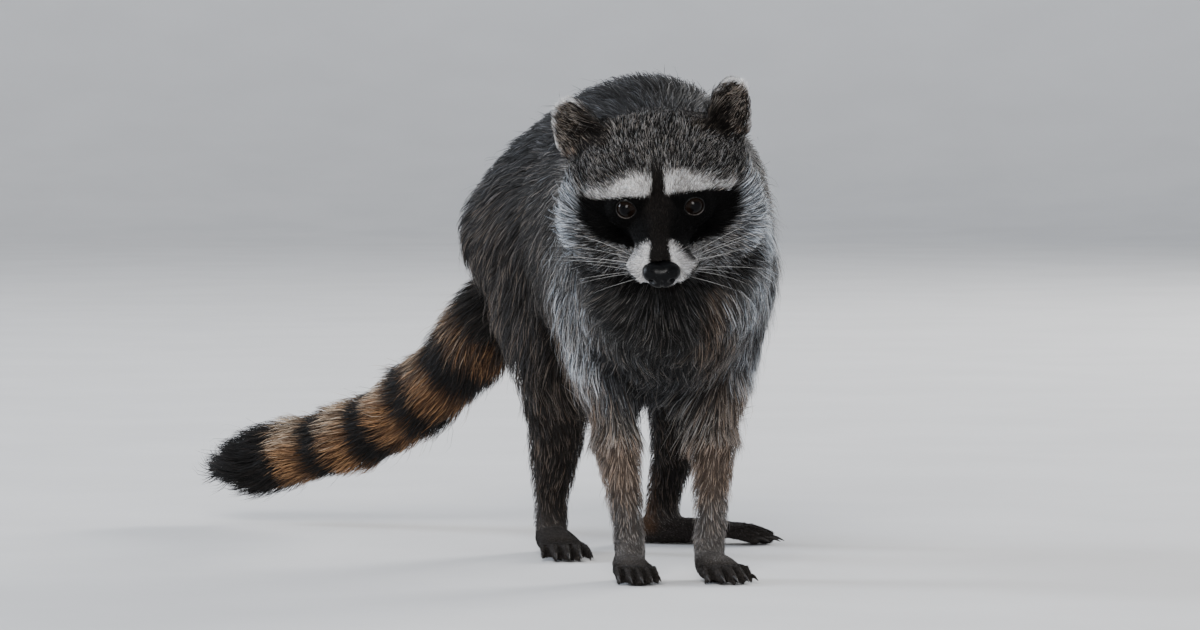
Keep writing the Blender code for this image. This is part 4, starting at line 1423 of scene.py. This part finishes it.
def hair_tube(points):
    """Rings and faces of a tapering whisker along a run of points."""
    sides, count = WHISKER_SIDES, len(points)
    ahead = unit(np.gradient(points, axis=0))
    first = unit(np.cross(ahead, np.array([0.3, 0.2, 1.0])))
    second = np.cross(ahead, first)
    turn = np.linspace(0, 2 * math.pi, sides, endpoint=False)[None, :, None]
    size = WHISKER_RADIUS * MM * np.linspace(1.0, 0.12, count)
    ring = np.cos(turn) * first[:, None] + np.sin(turn) * second[:, None]
    ring = points[:, None] + ring * size[:, None, None]
    faces = []
    for low in range(0, (count - 1) * sides, sides):
        for k in range(sides):
            m = (k + 1) % sides
            faces.append((low + k, low + sides + k, low + sides + m, low + m))
    faces.append(tuple(range(sides))[::-1])
    faces.append(tuple((count - 1) * sides + k for k in range(sides)))
    return ring.reshape(-1, 3), faces


def make_whiskers(look):
    """Long pale hairs that set off from the sides of the muzzle and droop."""
    points, faces = [], []
    u = column(np.linspace(0, 1, WHISKER_STEPS))
    rows = [(row, way) for row in WHISKER_ROWS for way in SIDES.values()]
    for (x, y, z, dx, dy, dz, length), way in rows:
        length = length * chance.uniform(0.85, 1.12)
        ahead = unit(np.array([way * dx, dy + chance.normal(0, 0.05), dz + chance.normal(0, 0.06)]))
        sag = np.array([0, 0.30, -chance.uniform(0.12, 0.34)])
        path = np.array([way * x, y, z]) + ahead * (u * length) + sag * (u ** 2 * length)
        ring, found = hair_tube(from_head(path))
        first = len(points) * len(ring)
        faces += [tuple(first + i for i in face) for face in found]
        points.append(ring)
    mesh = bpy.data.meshes.new("whiskers")
    mesh.from_pydata(np.concatenate(points), [], faces)
    tone = np.repeat(0.30 + 0.50 * rise(u[:, 0], 0.05, 0.5), WHISKER_SIDES)
    tint_points(mesh, np.tile(column(tone) * np.array([1.0, 0.99, 0.97]), (len(rows), 1)))
    finished(in_scene("whiskers", mesh), "whiskers", look)


# ---------------------------------------------------------------- room, lights and camera

AZIMUTH = -12.0
CAMERA_AWAY, CAMERA_HIGH, LENS, SENSOR = 4.2, 0.35, 200.0, 36.0
FRAME_WIDE, FRAME_HIGH = 1200, 630
# How far from the frame's left and top the point over the forefeet at the camera's height lies
FEET_AT = (676.0, 27.0)


def make_camera():
    a = math.radians(AZIMUTH)
    back, right = Vector((math.sin(a), -math.cos(a), 0)), Vector((math.cos(a), math.sin(a), 0))
    feet = Vector((middle("forepaw_left") + middle("forepaw_right")) / 2)
    feet.z = 0
    camera = in_scene("camera", bpy.data.cameras.new("camera"))
    camera.data.lens, camera.data.sensor_width = LENS, SENSOR
    camera.data.clip_end = 100
    camera.location = feet + back * CAMERA_AWAY + Vector((0, 0, CAMERA_HIGH))
    aim = right * (FRAME_WIDE / 2 - FEET_AT[0]) - back * (LENS / SENSOR * FRAME_WIDE)
    turn_to(camera, aim + Vector((0, 0, FEET_AT[1] - FRAME_HIGH / 2)))
    bpy.context.scene.camera = camera


def turn_to(thing, aim):
    """Points a camera or a lamp along a way."""
    thing.rotation_mode = "QUATERNION"
    thing.rotation_quaternion = aim.to_track_quat("-Z", "Y")


LIT = (0.03, -0.15, 0.18)      # the lamps point here
LAMPS = {  # place, size, power and colour
    "key": ((-1.9, -6.1, 3.3), 3.4, 630, (1.0, 0.98, 0.955)),
    "rim_right": ((3.9, 3.0, 1.9), 2.0, 270, (1.0, 0.98, 0.95)),
    "rim_left": ((-4.2, 2.2, 1.9), 2.0, 240, (0.80, 0.88, 1.0)),
}


def make_lights():
    """An even sky, a key light and two rim lights."""
    for name, (place, size, power, colour) in LAMPS.items():
        data = bpy.data.lights.new(name, "AREA")
        data.shape, data.size, data.energy, data.color = "DISK", size, power, colour
        lamp = in_scene(name, data)
        lamp.location = place
        turn_to(lamp, Vector(LIT) - Vector(place))
    world = bpy.data.worlds.new("studio")
    bpy.context.scene.world = world
    world.use_nodes = True
    sky = world.node_tree.nodes["Background"]
    sky.inputs["Color"].default_value = (0.84, 0.89, 0.96, 1)
    sky.inputs["Strength"].default_value = 0.58


FLOOR_FLAT, COVE = 6.5, 3.0    # radius of the flat floor, then of the curve up to its wall
WALL_TOP = 4.2
FLOOR_SIDES = 96


def make_floor():
    """A pale floor that curves up into a low wall all round."""
    turns = np.linspace(0, math.pi / 2, 16)
    curve = [(FLOOR_FLAT + COVE * math.sin(a), COVE * (1 - math.cos(a))) for a in turns]
    profile = [(1.5, 0.0), (3.5, 0.0), *curve, (FLOOR_FLAT + COVE, WALL_TOP)]
    turn = np.linspace(0, 2 * math.pi, FLOOR_SIDES, endpoint=False)
    points = [(0, 0, 0)] + [(r * math.cos(a), r * math.sin(a), z) for r, z in profile for a in turn]
    pairs = [(k, (k + 1) % FLOOR_SIDES) for k in range(FLOOR_SIDES)]
    faces = [(0, 1 + k, 1 + m) for k, m in pairs]
    for ring in range(len(profile) - 1):
        low, high = 1 + ring * FLOOR_SIDES, 1 + (ring + 1) * FLOOR_SIDES
        faces += [(low + k, high + k, high + m, low + m) for k, m in pairs]
    mesh = bpy.data.meshes.new("floor")
    mesh.from_pydata(points, [], faces)
    mesh.polygons.foreach_set("use_smooth", np.ones(len(faces), bool))
    mesh.materials.append(floor_look())
    in_scene("floor", mesh)


# ---------------------------------------------------------------- building it


def build():
    make_camera()
    make_floor()
    make_lights()
    skin, tree, owner = make_skin()
    unwrap = make_unwrap(skin)
    field = Field(skin.data, tree, owner)
    colour_skin(skin.data, field)
    finished(skin, "skin", skin_look())
    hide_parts(*FLESH)
    long_hair = coat_look("body_hair", 0.64, 0.14, 0.04)
    short_hair = coat_look("short_hair", 0.7, 0.05, 0.0)
    for name, (groups_in, most) in COAT_PIECES.items():
        look = short_hair if name in SHORT_HAIRED else long_hair
        make_coat(name, groups_in, most, field, unwrap, look)
    ball, rim = eye_look(), rim_look()
    for side in SIDES:
        make_eye(side, ball)
        make_lids(side, rim)
    make_nose(nose_look())
    make_whiskers(coat_look("whisker_hair", 0.4, 0.4, 0.0))
    make_claws(claw_look())


build()
